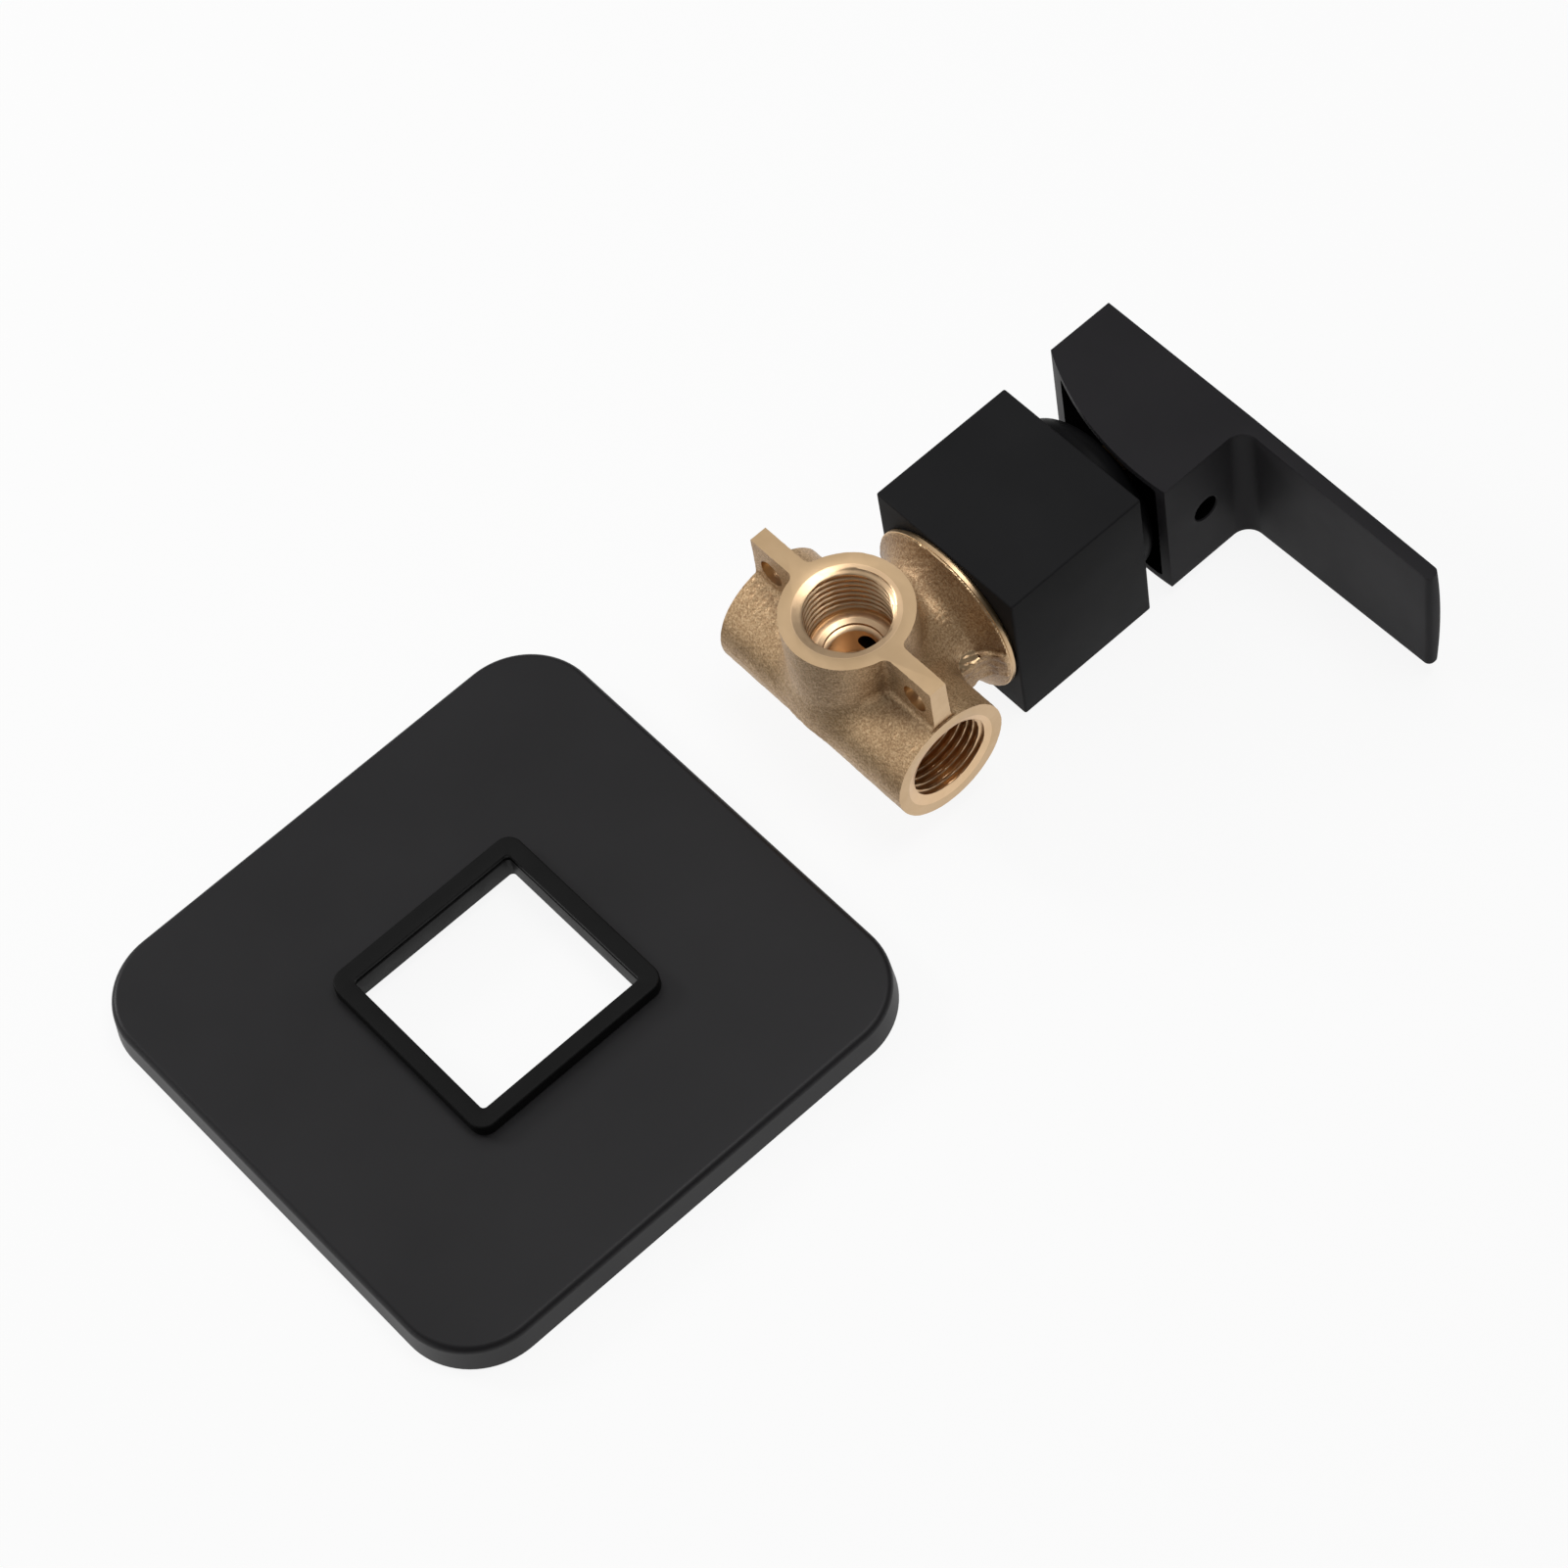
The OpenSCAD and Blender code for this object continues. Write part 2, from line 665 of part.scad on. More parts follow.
// Outline of block and lever seen along Z
module handle_outline() {
    difference() {
        union() {
            translate([-block_back, arc_low_y])
                square([block_back + block_front, handle_y + crown_sag - arc_low_y]);
            translate([0, lever_inner_y])
                square([lever_reach - lever_tip_r, handle_y + crown_sag - lever_inner_y]);
            translate([0, lever_inner_y + lever_tip_r])
                square([lever_reach, handle_y + crown_sag - lever_inner_y - 2 * lever_tip_r]);
            for (y = [lever_inner_y + lever_tip_r, handle_y + crown_sag - lever_tip_r])
                translate([lever_reach - lever_tip_r, y]) circle(lever_tip_r);
            translate([block_front, lever_inner_y - lever_fillet]) square([lever_fillet, lever_fillet]);
        }
        translate([block_front + lever_fillet, lever_inner_y - lever_fillet]) circle(lever_fillet);
        difference() {
            translate([-block_back - over, 0]) square([block_back + block_front + 2 * over, arc_y - over]);
            translate([arc_x, arc_y]) circle(rear_arc_r, $fn = 360);
        }
    }
}

// Outline of block and lever seen along Y, with the lever's slight taper
module handle_side() {
    polygon([[-block_back - over, -block_h / 2], [block_front, -block_h / 2],
        [lever_reach + over, -lever_tip_h / 2], [lever_reach + over, lever_tip_h / 2],
        [block_front, block_h / 2], [-block_back - over, block_h / 2]]);
}

// Lever handle: one piece with a hollow for the dome and a square socket for the stem
module handle() {
    color(black_coat) on_valve() difference() {
        intersection() {
            linear_extrude(2 * block_h, center = true) handle_outline();
            rotate([90, 0, 0]) linear_extrude(4 * handle_y, center = true) handle_side();
            translate([0, handle_y + crown_sag - front_arc_r, 0]) along_x()
                cylinder(r = front_arc_r, h = 4 * lever_reach, center = true, $fn = 360);
        }
        translate([-cavity_back, 0, -block_h / 2 + cavity_wall])
            cube([cavity_back + block_front - cavity_end, ceiling_y, block_h - 2 * cavity_wall]);
        translate([-stem_w / 2 - seat_gap, ceiling_y - over, -stem_w / 2 - seat_gap])
            cube([stem_w + 2 * seat_gap, socket_y - ceiling_y + over, stem_w + 2 * seat_gap]);
        translate([0, grub_y, 0]) along_x() cylinder(r = grub_d / 2 + seat_gap, h = block_front + over);
        translate([stem_w / 2 + grub_len + access_gap, grub_y, 0]) along_x()
            cylinder(r = access_d / 2, h = block_front);
    }
}

// Grub screw that holds the handle on the stem, with a hexagon socket
module grub_screw() {
    color(steel) on_valve() translate([stem_w / 2, grub_y, 0]) along_x() difference() {
        cylinder(r = grub_d / 2, h = grub_len);
        translate([0, 0, grub_len - grub_socket_t])
            cylinder(r = grub_d * grub_socket_k, h = grub_socket_t + over, $fn = 6);
    }
}

// Section of the plate's edge: rounded shoulder and leaning rim, x from the corner's centre
module rim_section() {
    difference() {
        union() {
            square([plate_r - shoulder_r, plate_h]);
            polygon([[0, 0], [plate_r + rim_lean, 0],
                [plate_r, plate_h - shoulder_r], [0, plate_h - shoulder_r]]);
            translate([plate_r - shoulder_r, plate_h - shoulder_r]) circle(shoulder_r);
        }
        translate([-over, -over]) square([plate_r - shoulder_r + over, plate_h - sheet_t + over]);
        translate([-over, -over]) polygon([[0, 0], [plate_r + rim_lean - sheet_t + over, 0],
            [plate_r + rim_lean - sheet_t + over, over],
            [plate_r - sheet_t + over, plate_h - shoulder_r + over],
            [0, plate_h - shoulder_r + over]]);
        translate([plate_r - shoulder_r, plate_h - shoulder_r]) circle(shoulder_r - sheet_t);
    }
}

// Pressed steel cover plate with round corners and a square opening
module cover_plate() {
    flat = plate_w - 2 * plate_r;
    color(black_coat) on_plate() difference() {
        union() {
            translate([-flat / 2, -flat / 2, plate_h - sheet_t]) cube([flat, flat, sheet_t]);
            for (a = [0 : 90 : 270]) rotate([0, 0, a]) {
                translate([flat / 2, flat / 2, 0]) rotate_extrude(angle = 90) rim_section();
                translate([flat / 2, flat / 2, 0]) rotate([90, 0, 0]) linear_extrude(flat) rim_section();
            }
        }
        translate([0, 0, -over]) linear_extrude(plate_h + 2 * over)
            rounded_square(collar_neck, collar_corner_r - collar_bite);
    }
}

// Rubber collar that clips into the plate's opening and wipes round the sleeve
module plate_collar() {
    top_z = plate_h + collar_rise;
    color(black_rubber) on_plate() difference() {
        union() {
            translate([0, 0, plate_h - collar_depth]) linear_extrude(collar_depth - sheet_t)
                rounded_square(collar_outer - 2 * collar_back_step, collar_corner_r);
            translate([0, 0, plate_h - collar_depth]) linear_extrude(collar_depth + collar_rise / 2)
                rounded_square(collar_neck, collar_corner_r - collar_bite);
            translate([0, 0, plate_h]) linear_extrude(collar_rise - collar_edge)
                rounded_square(collar_outer, collar_corner_r);
            translate([0, 0, plate_h]) linear_extrude(collar_rise)
                rounded_square(collar_outer - 2 * collar_edge, collar_corner_r - collar_edge);
        }
        translate([0, 0, -over]) linear_extrude(top_z + 2 * over)
            rounded_square(collar_open, collar_inner_r);
        translate([0, 0, top_z - collar_lip_t - collar_groove_w]) linear_extrude(collar_groove_w)
            rounded_square(collar_open + 2 * collar_groove, collar_inner_r + collar_groove);
    }
}

valve_body();
sleeve_o_ring();
cartridge_base();
port_seals();
disc_seals();
fixed_disc();
moving_disc();
disc_carrier();
spindle_guide();
pivot_pin();
lever_stem();
thrust_ring();
cartridge_housing();
retaining_nut();
dome_cap();
square_sleeve();
handle();
grub_screw();
cover_plate();
plate_collar();
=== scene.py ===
"""Looks of the concealed shower mixer kit: cast brass valve with cut pipe threads, satin black
sleeve, dome, lever handle and cover plate, moulded rubber collar. Lengths in the shape code are
millimetres. The valve has its own frame (origin at the sleeve's rear face, on the cartridge
axis), and so has the plate with its collar (origin on the floor, under the opening's middle)."""
import math

import bmesh
import bpy
import numpy as np
from mathutils import Matrix, Vector


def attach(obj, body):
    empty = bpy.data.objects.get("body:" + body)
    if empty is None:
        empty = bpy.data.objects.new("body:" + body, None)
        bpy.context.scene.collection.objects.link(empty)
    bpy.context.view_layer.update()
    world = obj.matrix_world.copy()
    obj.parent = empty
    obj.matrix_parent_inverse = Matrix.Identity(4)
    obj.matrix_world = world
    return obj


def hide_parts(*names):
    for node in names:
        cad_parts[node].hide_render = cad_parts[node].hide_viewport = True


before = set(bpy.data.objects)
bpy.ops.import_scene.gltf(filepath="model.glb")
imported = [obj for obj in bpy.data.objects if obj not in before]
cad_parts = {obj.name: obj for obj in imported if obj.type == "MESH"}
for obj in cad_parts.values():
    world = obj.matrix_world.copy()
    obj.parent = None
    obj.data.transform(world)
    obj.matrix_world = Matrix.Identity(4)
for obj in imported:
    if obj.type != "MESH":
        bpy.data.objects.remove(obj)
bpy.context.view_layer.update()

# ---------------------------------------------------------------- sizes shared with the CAD source
TUBE_R, TUBE_X = 14.2, 27.7
BOSS_R, OUTLET_Z = 14.25, 26.7
TUBE_Y = -26.0
PORT_R, RELIEF_R = 10.48, 9.3
INLET_DEPTH, INLET_RELIEF, OUTLET_DEPTH, OUTLET_RELIEF = 13.0, 2.0, 14.0, 0.5
MOUTH_R, MOUTH_T = 11.5, 0.3
NECK_R, FLANGE_R, FLANGE_T, FLANGE_GAP = 14.5, 20.2, 1.0, 0.6
FLANGE_Y = -FLANGE_GAP - FLANGE_T
# arc of the flare, in a section through the axis
FLARE_R, FLARE_CR, FLARE_CY = 10.1, 23.655, -11.342
EAR_T, EAR_X, EAR_Z, EAR_R, EAR_INSET = 4.2, 21.8, 19.8, 3.2, 0.5
CUP_R, CUP_END, RING_GROOVE_R = 19.3, 29.5, 18.3
CARTRIDGE_R, CARTRIDGE_Y, NUT_R, NUT_Y = 17.65, 1.0, 18.35, 24.1
SLEEVE_W, SLEEVE_L, SLEEVE_BORE_R, SLEEVE_EYE_R, SLEEVE_FRONT_T = 41.0, 36.6, 19.5, 16.3, 2.0
DOME_INSET, DOME_RISE, DOME_FOOT, DOME_WALL = 1.3, 7.5, 1.7, 1.2
DOME_NECK_IN, DOME_NECK_OUT, DOME_NECK_Y, DOME_EYE_R = 14.55, 16.0, 31.5, 15.0
PITCH, THREAD_H = 1.814, 1.162
HANDLE_Y, HANDLE_BACK, HANDLE_FRONT, LEVER_TIP = 68.2, -22.1, 21.2, 74.7
BLOCK_DEPTH, LEVER_T, HANDLE_HALF, TIP_HALF = 26.2, 3.2, 17.75, 16.3
REAR_ARC_R, REAR_ARC_X, INNER_FILLET, TIP_R = 73.0, 13.5, 4.2, 1.4
CAVITY_LO, CAVITY_HI = (-17.0, 30, -16.0), (18.6, 48.5, 16.0)
SOCKET_HALF, SOCKET_END, GRUB_Y, GRUB_R = 4.05, 58.1, 53.5, 2.55
PLATE_W, PLATE_R, PLATE_H, SHEET_T, SHOULDER_R, LEAN = 125.0, 17.0, 7.5, 1.2, 1.6, 0.5
HOLE_HALF, HOLE_R = 24.0, 2.6
COLLAR_OPEN, COLLAR_WALL, COLLAR_RISE, COLLAR_DEPTH = 42.0, 4.0, 3.3, 4.8
COLLAR_R, COLLAR_IN_R = 3.6, 1.0
PLATE_X, PLATE_Y = -6.0, -123.2
SHIFT = np.array([-2.85, 58.55, 20.5])      # valve frame to row frame
PLATE_SHIFT = np.array([PLATE_X - 2.85, PLATE_Y + 58.55, 0.0])

# ---------------------------------------------------------------- sizes of the looks alone
# stock of the raw casting beyond its machined faces, and where it ends inside the flange
END_STOCK, TOP_STOCK, CAST_FRONT = 0.92, 1.11, -1.25
SAW_NX, SAW_NZ = 0.50, 0.866                # normal of the gate stub's sawn face
CAST_GRID = 0.36                            # spacing of the grid that the casting is meshed on
EDGE = 0.15                                 # broken edges of the plate and the collar
FACE_CAST, FACE_CUT, FACE_THREAD = 0, 1, 2  # material slots of the valve body


# ---------------------------------------------------------------- mesh helpers
def make_object(name, verts, faces, shift=SHIFT, smooth_angle=30.0):
    me = bpy.data.meshes.new(name)
    v = (np.asarray(verts, float) + shift) / 1000.0
    me.from_pydata(v.tolist(), [], [list(map(int, f)) for f in faces])
    me.update()
    ob = bpy.data.objects.new(name, me)
    bpy.context.scene.collection.objects.link(ob)
    finish_normals(ob, smooth_angle)
    return ob


def finish_normals(ob, angle):
    """Welds the mesh, turns its faces outward and shades it smooth, sharp above the angle."""
    me = ob.data
    bm = bmesh.new()
    bm.from_mesh(me)
    bmesh.ops.remove_doubles(bm, verts=bm.verts, dist=1e-7)
    bmesh.ops.dissolve_degenerate(bm, edges=bm.edges, dist=1e-7)
    bmesh.ops.recalc_face_normals(bm, faces=bm.faces)
    bm.to_mesh(me)
    bm.free()
    me.polygons.foreach_set("use_smooth", np.ones(len(me.polygons), bool))
    if angle is not None:
        me.set_sharp_from_angle(angle=math.radians(angle))
    me.update()


def revolve(profile, segments=128, axis="y"):
    """A closed solid of revolution about y or x from (radius, place) pairs, ends capped."""
    ang = np.linspace(0, 2 * math.pi, segments, endpoint=False)
    verts, rows = [], []
    for r, s in profile:
        if r < 1e-6:
            rows.append([len(verts)] * segments)
            verts.append((0.0, s, 0.0))
        else:
            rows.append(list(range(len(verts), len(verts) + segments)))
            verts += [(r * math.cos(a), s, r * math.sin(a)) for a in ang]
    faces = []
    n = len(rows)
    for i in range(n):
        a, b = rows[i], rows[(i + 1) % n]
        if i == n - 1 and a[0] == a[1] and b[0] == b[1]:
            continue
        for k in range(segments):
            k2 = (k + 1) % segments
            q = [a[k], a[k2], b[k2], b[k]]
            q = [x for j, x in enumerate(q) if x not in q[:j]]
            if len(q) >= 3:
                faces.append(q)
    v = np.array(verts)
    if axis == "x":
        v = v[:, [1, 0, 2]]
    return v, faces


def grid_faces(nu, nv):
    """Quads between nv rows of nu points each, every row closed on itself."""
    faces = []
    for j in range(nv - 1):
        for i in range(nu):
            i2 = (i + 1) % nu
            faces.append([j * nu + i, j * nu + i2, (j + 1) * nu + i2, (j + 1) * nu + i])
    return faces


def thread_radius(u):
    """Whitworth form: u is the phase, 0 to 1 over one pitch. 1 at the root, 0 at the crest."""
    t = 1.0 - 2.0 * np.abs((u % 1.0) - 0.5)
    t = np.clip((t - 0.2) / 0.7, 0, 1)
    return t * t * (3 - 2 * t) * 0.55 + t * 0.45


def port_cutter(depth, relief, extra=()):
    """The void of a threaded port as a closed mesh along +s, s = 0 at the mouth's face and
    negative inside: countersink, thread with its run-in and run-out, relief, then the extra
    (s, radius) rings. Points are (s, a, b) columns."""
    nseg, steps_per_pitch = 192, 18
    overshoot, first, run_out = 2.0, -0.08, 0.9 * PITCH
    cone = (MOUTH_R - PORT_R) / MOUTH_T
    ang = np.linspace(0, 2 * math.pi, nseg, endpoint=False)
    rings = [(overshoot, np.full(nseg, MOUTH_R + overshoot * cone)), (0.0, np.full(nseg, MOUTH_R))]
    for s in np.arange(first, -depth, -PITCH / steps_per_pitch):
        r = PORT_R - THREAD_H * (1 - thread_radius(s / PITCH - ang / (2 * math.pi)))
        r = np.maximum(r, MOUTH_R + s * cone)
        run = np.clip((depth + s) / run_out, 0, 1)
        rings.append((s, RELIEF_R + (r - RELIEF_R) * run))
    for s, r in [(-depth, RELIEF_R), (-depth - relief, RELIEF_R)] + list(extra):
        rings.append((s, np.full(nseg, r)))
    v = np.concatenate([np.stack([np.full(nseg, s), r * np.cos(ang), r * np.sin(ang)], 1)
                        for s, r in rings])
    nv = len(rings)
    faces = grid_faces(nseg, nv)
    v = np.concatenate([v, [[rings[0][0], 0, 0], [rings[-1][0], 0, 0]]])
    top, bot = len(v) - 2, len(v) - 1
    for k in range(nseg):
        k2 = (k + 1) % nseg
        faces.append([top, k2, k])
        faces.append([bot, (nv - 1) * nseg + k, (nv - 1) * nseg + k2])
    return v, faces


def cylinder_between(a, b, r, n=48):
    a, b = np.array(a, float), np.array(b, float)
    d = b - a
    d /= np.linalg.norm(d)
    u = np.cross(d, [0.3, 0.5, 0.81])       # any direction that no axis here is parallel to
    u /= np.linalg.norm(u)
    w = np.cross(d, u)
    ang = np.linspace(0, 2 * math.pi, n, endpoint=False)
    ring = r * (np.cos(ang)[:, None] * u + np.sin(ang)[:, None] * w)
    v = np.concatenate([a + ring, b + ring])
    faces = grid_faces(n, 2) + [list(range(n))[::-1], list(range(n, 2 * n))]
    return v, faces


def box_mesh(lo, hi):
    x0, y0, z0 = lo
    x1, y1, z1 = hi
    v = [(x0, y0, z0), (x1, y0, z0), (x1, y1, z0), (x0, y1, z0),
         (x0, y0, z1), (x1, y0, z1), (x1, y1, z1), (x0, y1, z1)]
    f = [[3, 2, 1, 0], [4, 5, 6, 7], [0, 1, 5, 4], [1, 2, 6, 5], [2, 3, 7, 6], [3, 0, 4, 7]]
    return np.array(v, float), f


def cutter(name, mesh):
    """A closed (points, faces) mesh as an object that boolean() uses up."""
    return make_object(name, *mesh, smooth_angle=None)


def boolean(ob, cutters, op="DIFFERENCE"):
    """Cuts or joins closed meshes with the manifold solver, then throws the cutters away."""
    for c in cutters:
        m = ob.modifiers.new("b", "BOOLEAN")
        m.operation = op
        m.solver = "MANIFOLD"
        m.object = c
        dg = bpy.context.evaluated_depsgraph_get()
        new = bpy.data.meshes.new_from_object(ob.evaluated_get(dg))
        ob.modifiers.clear()
        old = ob.data
        if len(new.vertices) == len(old.vertices):
            raise RuntimeError("a boolean did nothing: " + ob.name + ", " + c.name)
        ob.data = new
        bpy.data.meshes.remove(old)
        bpy.data.objects.remove(c)
    return ob


def sharp_edges(bm, angle):
    """The edges between two faces that meet at more than the angle."""
    return [e for e in bm.edges
            if len(e.link_faces) == 2 and e.calc_face_angle(0) > math.radians(angle)]


def bevelled(mesh, width, name):
    """A mesh with its sharp edges rounded off."""
    ob = cutter(name, mesh)
    bm = bmesh.new()
    bm.from_mesh(ob.data)
    bmesh.ops.bevel(bm, geom=sharp_edges(bm, 30.0), offset=width / 1000.0, offset_type="OFFSET",
                    segments=4, profile=0.5, affect="EDGES", clamp_overlap=True)
    bm.to_mesh(ob.data)
    bm.free()
    return ob


# ---------------------------------------------------------------- distance fields, surface nets
def smin(a, b, k):
    h = np.clip(0.5 + 0.5 * (b - a) / k, 0, 1)
    return b + (a - b) * h - k * h * (1 - h)


def smax(a, b, k):
    return -smin(-a, -b, k)


def waves(x, y, z, scale, seed, n=7):
    """Smooth deterministic noise, about -1 to 1: a few plane waves of nearly the same length."""
    rng = np.random.RandomState(seed)
    out = np.zeros_like(x)
    for _ in range(n):
        d = rng.normal(size=3)
        d /= np.linalg.norm(d)
        k = 2 * math.pi / scale * rng.uniform(0.7, 1.4)
        out += np.sin(k * (d[0] * x + d[1] * y + d[2] * z) + rng.uniform(0, 6.28))
    return out / math.sqrt(n) * 0.8


def gate_stub(x, y, z, r):
    """Distance of the gate's stub: a web along the neck and up the flare, with a rough-sawn
    slanting face near the tube."""
    inner_x, outer_x, low_z, tube_end_y = 10.0, 16.2, -3.51, -14.0
    face = SAW_NX * (x - 14.2) + SAW_NZ * (z - 4.6)
    saw_marks = 0.15 * np.sin(5.2 * (0.9 * (x - 13) - 0.35 * (y + 9)) + 1.3 * np.sin(0.9 * y))
    saw_marks *= np.exp(-((y + 9.2) / 2.8) ** 2)
    web = np.maximum(z - 4.5 + 0.11 * (x - 13.6), -6.3 - y)
    side = smin(x - outer_x, 0.581 * (x - outer_x) - 0.814 * (y + 5.1), 1.4)
    gate = smax(side, np.minimum(face + saw_marks, web), 0.35)
    return np.maximum.reduce([gate, low_z - z, inner_x - x, y - CAST_FRONT,
                              r - FLANGE_R + 0.35, tube_end_y - y])


def trimmed_seam(x, y, z):
    """Height of the trimmed seam on the tube, where the boss runs into it beside the ear: a
    wobbling ridge with a groove below it, from a start point along a direction."""
    x0, y0, z0 = 10.0, -36.2, 10.1
    dx, dy, dz, length_sq = 3.7, 7.2, 4.0, 81.5
    t = np.clip((dx * (x - x0) + dy * (y - y0) + dz * (z - z0)) / length_sq, 0, 1)
    wobble = 0.35 * np.sin(9.0 * t) + 0.15 * np.sin(23.0 * t)
    ox, oy, oz = x - x0 - dx * t + wobble, y - y0 - dy * t, z - z0 - dz * t
    ridge = np.sqrt(ox ** 2 + oy ** 2 + oz ** 2)
    groove = np.sqrt((ox - 0.65) ** 2 + oy ** 2 + (oz + 0.45) ** 2)
    seam = 0.42 * np.clip(1.25 - ridge / 0.5, 0, 1) * (0.7 + 0.5 * waves(x, y, z, 1.6, 9, 5))
    seam -= 0.3 * np.clip(1.25 - groove / 0.38, 0, 1) * (0.7 + 0.4 * waves(x, y, z, 1.3, 11, 5))
    return seam


def cast_field(x, y, z):
    """Signed distance, in mm, of the raw casting: tube, boss, neck, flare, ears, gate stub."""
    tube_boss_fillet, neck_fillet, flare_fillet, ear_fillet = 3.4, 4.6, 0.7, 1.7
    yt = y - TUBE_Y
    r = np.sqrt(x * x + z * z)
    past_ends = np.abs(x) - TUBE_X - END_STOCK
    past_top = np.maximum(z - OUTLET_Z - TOP_STOCK, -z)
    past_front = y - CAST_FRONT
    tube = smax(np.sqrt(yt * yt + z * z) - TUBE_R, past_ends, 0.1)
    boss = np.maximum(np.sqrt(x * x + yt * yt) - BOSS_R, past_top)
    neck = np.maximum(r - NECK_R, np.maximum(past_front, TUBE_Y - y))
    # trumpet flare: a shallow arc that leaves the neck with a crease
    flare = np.maximum(FLARE_R - np.sqrt((r - FLARE_CR) ** 2 + (y - FLARE_CY) ** 2),
                       r - FLANGE_R + 0.25)
    flare = np.maximum(flare, np.maximum(FLARE_CY - y, past_front))
    d = smin(tube, boss, tube_boss_fillet)
    d = smin(d, neck, neck_fillet)
    d = np.minimum(d, smin(neck, flare, flare_fillet))
    # ears with a little draft, thicker towards their foot
    foot = np.clip((17.5 - z) / 4.0, 0, 1)
    ear = np.maximum(np.abs(yt) - EAR_T / 2 - 0.012 * (OUTLET_Z - z) - 0.35 * foot * foot,
                     np.maximum(past_ends, 10.0 - np.abs(x)))
    d = smin(d, np.maximum(ear, past_top), ear_fillet)
    d = smin(d, gate_stub(x, y, z, r) + 0.12 * waves(x, y, z, 2.4, 5, 5), 0.5)
    seam = trimmed_seam(x, y, z)
    # sand-cast skin, the finest grain is left to the material, and a faint parting line
    skin = 0.030 * waves(x, y, z, 7.0, 1) + 0.022 * waves(x, y, z, 2.6, 2)
    skin += 0.024 * waves(x, y, z, 1.2, 3, 9)
    line = 0.08 * np.exp(-((z + 0.25 * np.sin(x * 0.35)) / 0.35) ** 2)
    return d - skin - line - seam


def untwist(F):
    """Fills the corners of grid squares whose signs form a checkerboard, so that no edge gets
    four faces."""
    for _ in range(8):
        found = 0
        for a, b in ((0, 1), (1, 2), (0, 2)):
            views = []
            for i, j in ((0, 0), (1, 0), (0, 1), (1, 1)):
                sl = [slice(None)] * 3
                sl[a] = slice(i, F.shape[a] - 1 + i)
                sl[b] = slice(j, F.shape[b] - 1 + j)
                views.append(F[tuple(sl)])
            s00, s10, s01, s11 = [v < 0 for v in views]
            twist = (s00 == s11) & (s10 == s01) & (s00 != s10)
            found += int(twist.sum())
            for v in views:
                v[twist & (v >= 0)] = -1e-4
        if not found:
            break


def surface_nets(field, lo, hi, h):
    """Closed mesh of the field's zero surface: one point in each grid cell that it crosses."""
    ax = [np.arange(lo[i], hi[i] + h, h) for i in range(3)]
    X, Y, Z = np.meshgrid(*ax, indexing="ij")
    F = field(X, Y, Z)
    untwist(F)
    S = F < 0
    corners = [(i, j, k) for i in (0, 1) for j in (0, 1) for k in (0, 1)]
    n = [len(a) - 1 for a in ax]
    count = np.zeros(n, int)
    for i, j, k in corners:
        count += S[i:i + n[0], j:j + n[1], k:k + n[2]]
    act = np.argwhere((count > 0) & (count < 8))
    idx = -np.ones(n, int)
    idx[act[:, 0], act[:, 1], act[:, 2]] = np.arange(len(act))
    # each point is the mean of the crossings on its cell's twelve edges
    pos = np.zeros((len(act), 3))
    num = np.zeros(len(act))
    for a in corners:
        for axis in range(3):
            if a[axis]:
                continue
            b = list(a)
            b[axis] = 1
            fa = F[act[:, 0] + a[0], act[:, 1] + a[1], act[:, 2] + a[2]]
            fb = F[act[:, 0] + b[0], act[:, 1] + b[1], act[:, 2] + b[2]]
            m = (fa < 0) != (fb < 0)
            t = np.where(m, fa / np.where(m, fa - fb, 1.0), 0)
            p = np.tile(np.array(a, float), (len(act), 1))
            p[:, axis] = t
            pos += p * m[:, None]
            num += m
    verts = (act + pos / num[:, None]) * h + np.array(lo)
    # each grid edge that the surface crosses gives the quad of its four cells
    faces = []
    for axis in range(3):
        o1, o2 = [(1, 2), (2, 0), (0, 1)][axis]
        sl0 = [slice(None)] * 3
        sl1 = [slice(None)] * 3
        sl0[axis] = slice(0, n[axis])
        sl1[axis] = slice(1, n[axis] + 1)
        A, B = S[tuple(sl0)], S[tuple(sl1)]
        e = np.argwhere(A != B)
        keep = (e[:, o1] > 0) & (e[:, o1] < n[o1]) & (e[:, o2] > 0) & (e[:, o2] < n[o2])
        e = e[keep]
        flip = A[e[:, 0], e[:, 1], e[:, 2]]
        quad = []
        for d1, d2 in ((-1, -1), (0, -1), (0, 0), (-1, 0)):
            c = e.copy()
            c[:, o1] += d1
            c[:, o2] += d2
            quad.append(idx[c[:, 0], c[:, 1], c[:, 2]])
        quad = np.stack(quad, 1)
        quad[~flip] = quad[~flip][:, ::-1]
        faces.append(quad)
    return pull_to_surface(field, verts, h), np.concatenate(faces)


def pull_to_surface(field, verts, h):
    """Moves the points onto the field's zero surface by two Newton steps along its gradient."""
    e, least_slope_sq, most = 0.04, 0.25, 0.4 * h
    for _ in range(2):
        x, y, z = verts.T
        f = field(x, y, z)
        g = np.stack([field(x + e, y, z) - field(x - e, y, z),
                      field(x, y + e, z) - field(x, y - e, z),
                      field(x, y, z + e) - field(x, y, z - e)], 1) / (2 * e)
        g2 = np.maximum((g * g).sum(1), least_slope_sq)
        verts = verts - np.clip(f / g2, -most, most)[:, None] * g
    return verts


# ---------------------------------------------------------------- materials
def new_material(name):
    m = bpy.data.materials.new(name)
    m.use_nodes = True
    nt = m.node_tree
    nt.nodes.clear()
    out = nt.nodes.new("ShaderNodeOutputMaterial")
    bsdf = nt.nodes.new("ShaderNodeBsdfPrincipled")
    nt.links.new(bsdf.outputs[0], out.inputs[0])
    return m, nt, bsdf


def texture_coords(nt):
    return nt.nodes.new("ShaderNodeTexCoord").outputs["Object"]


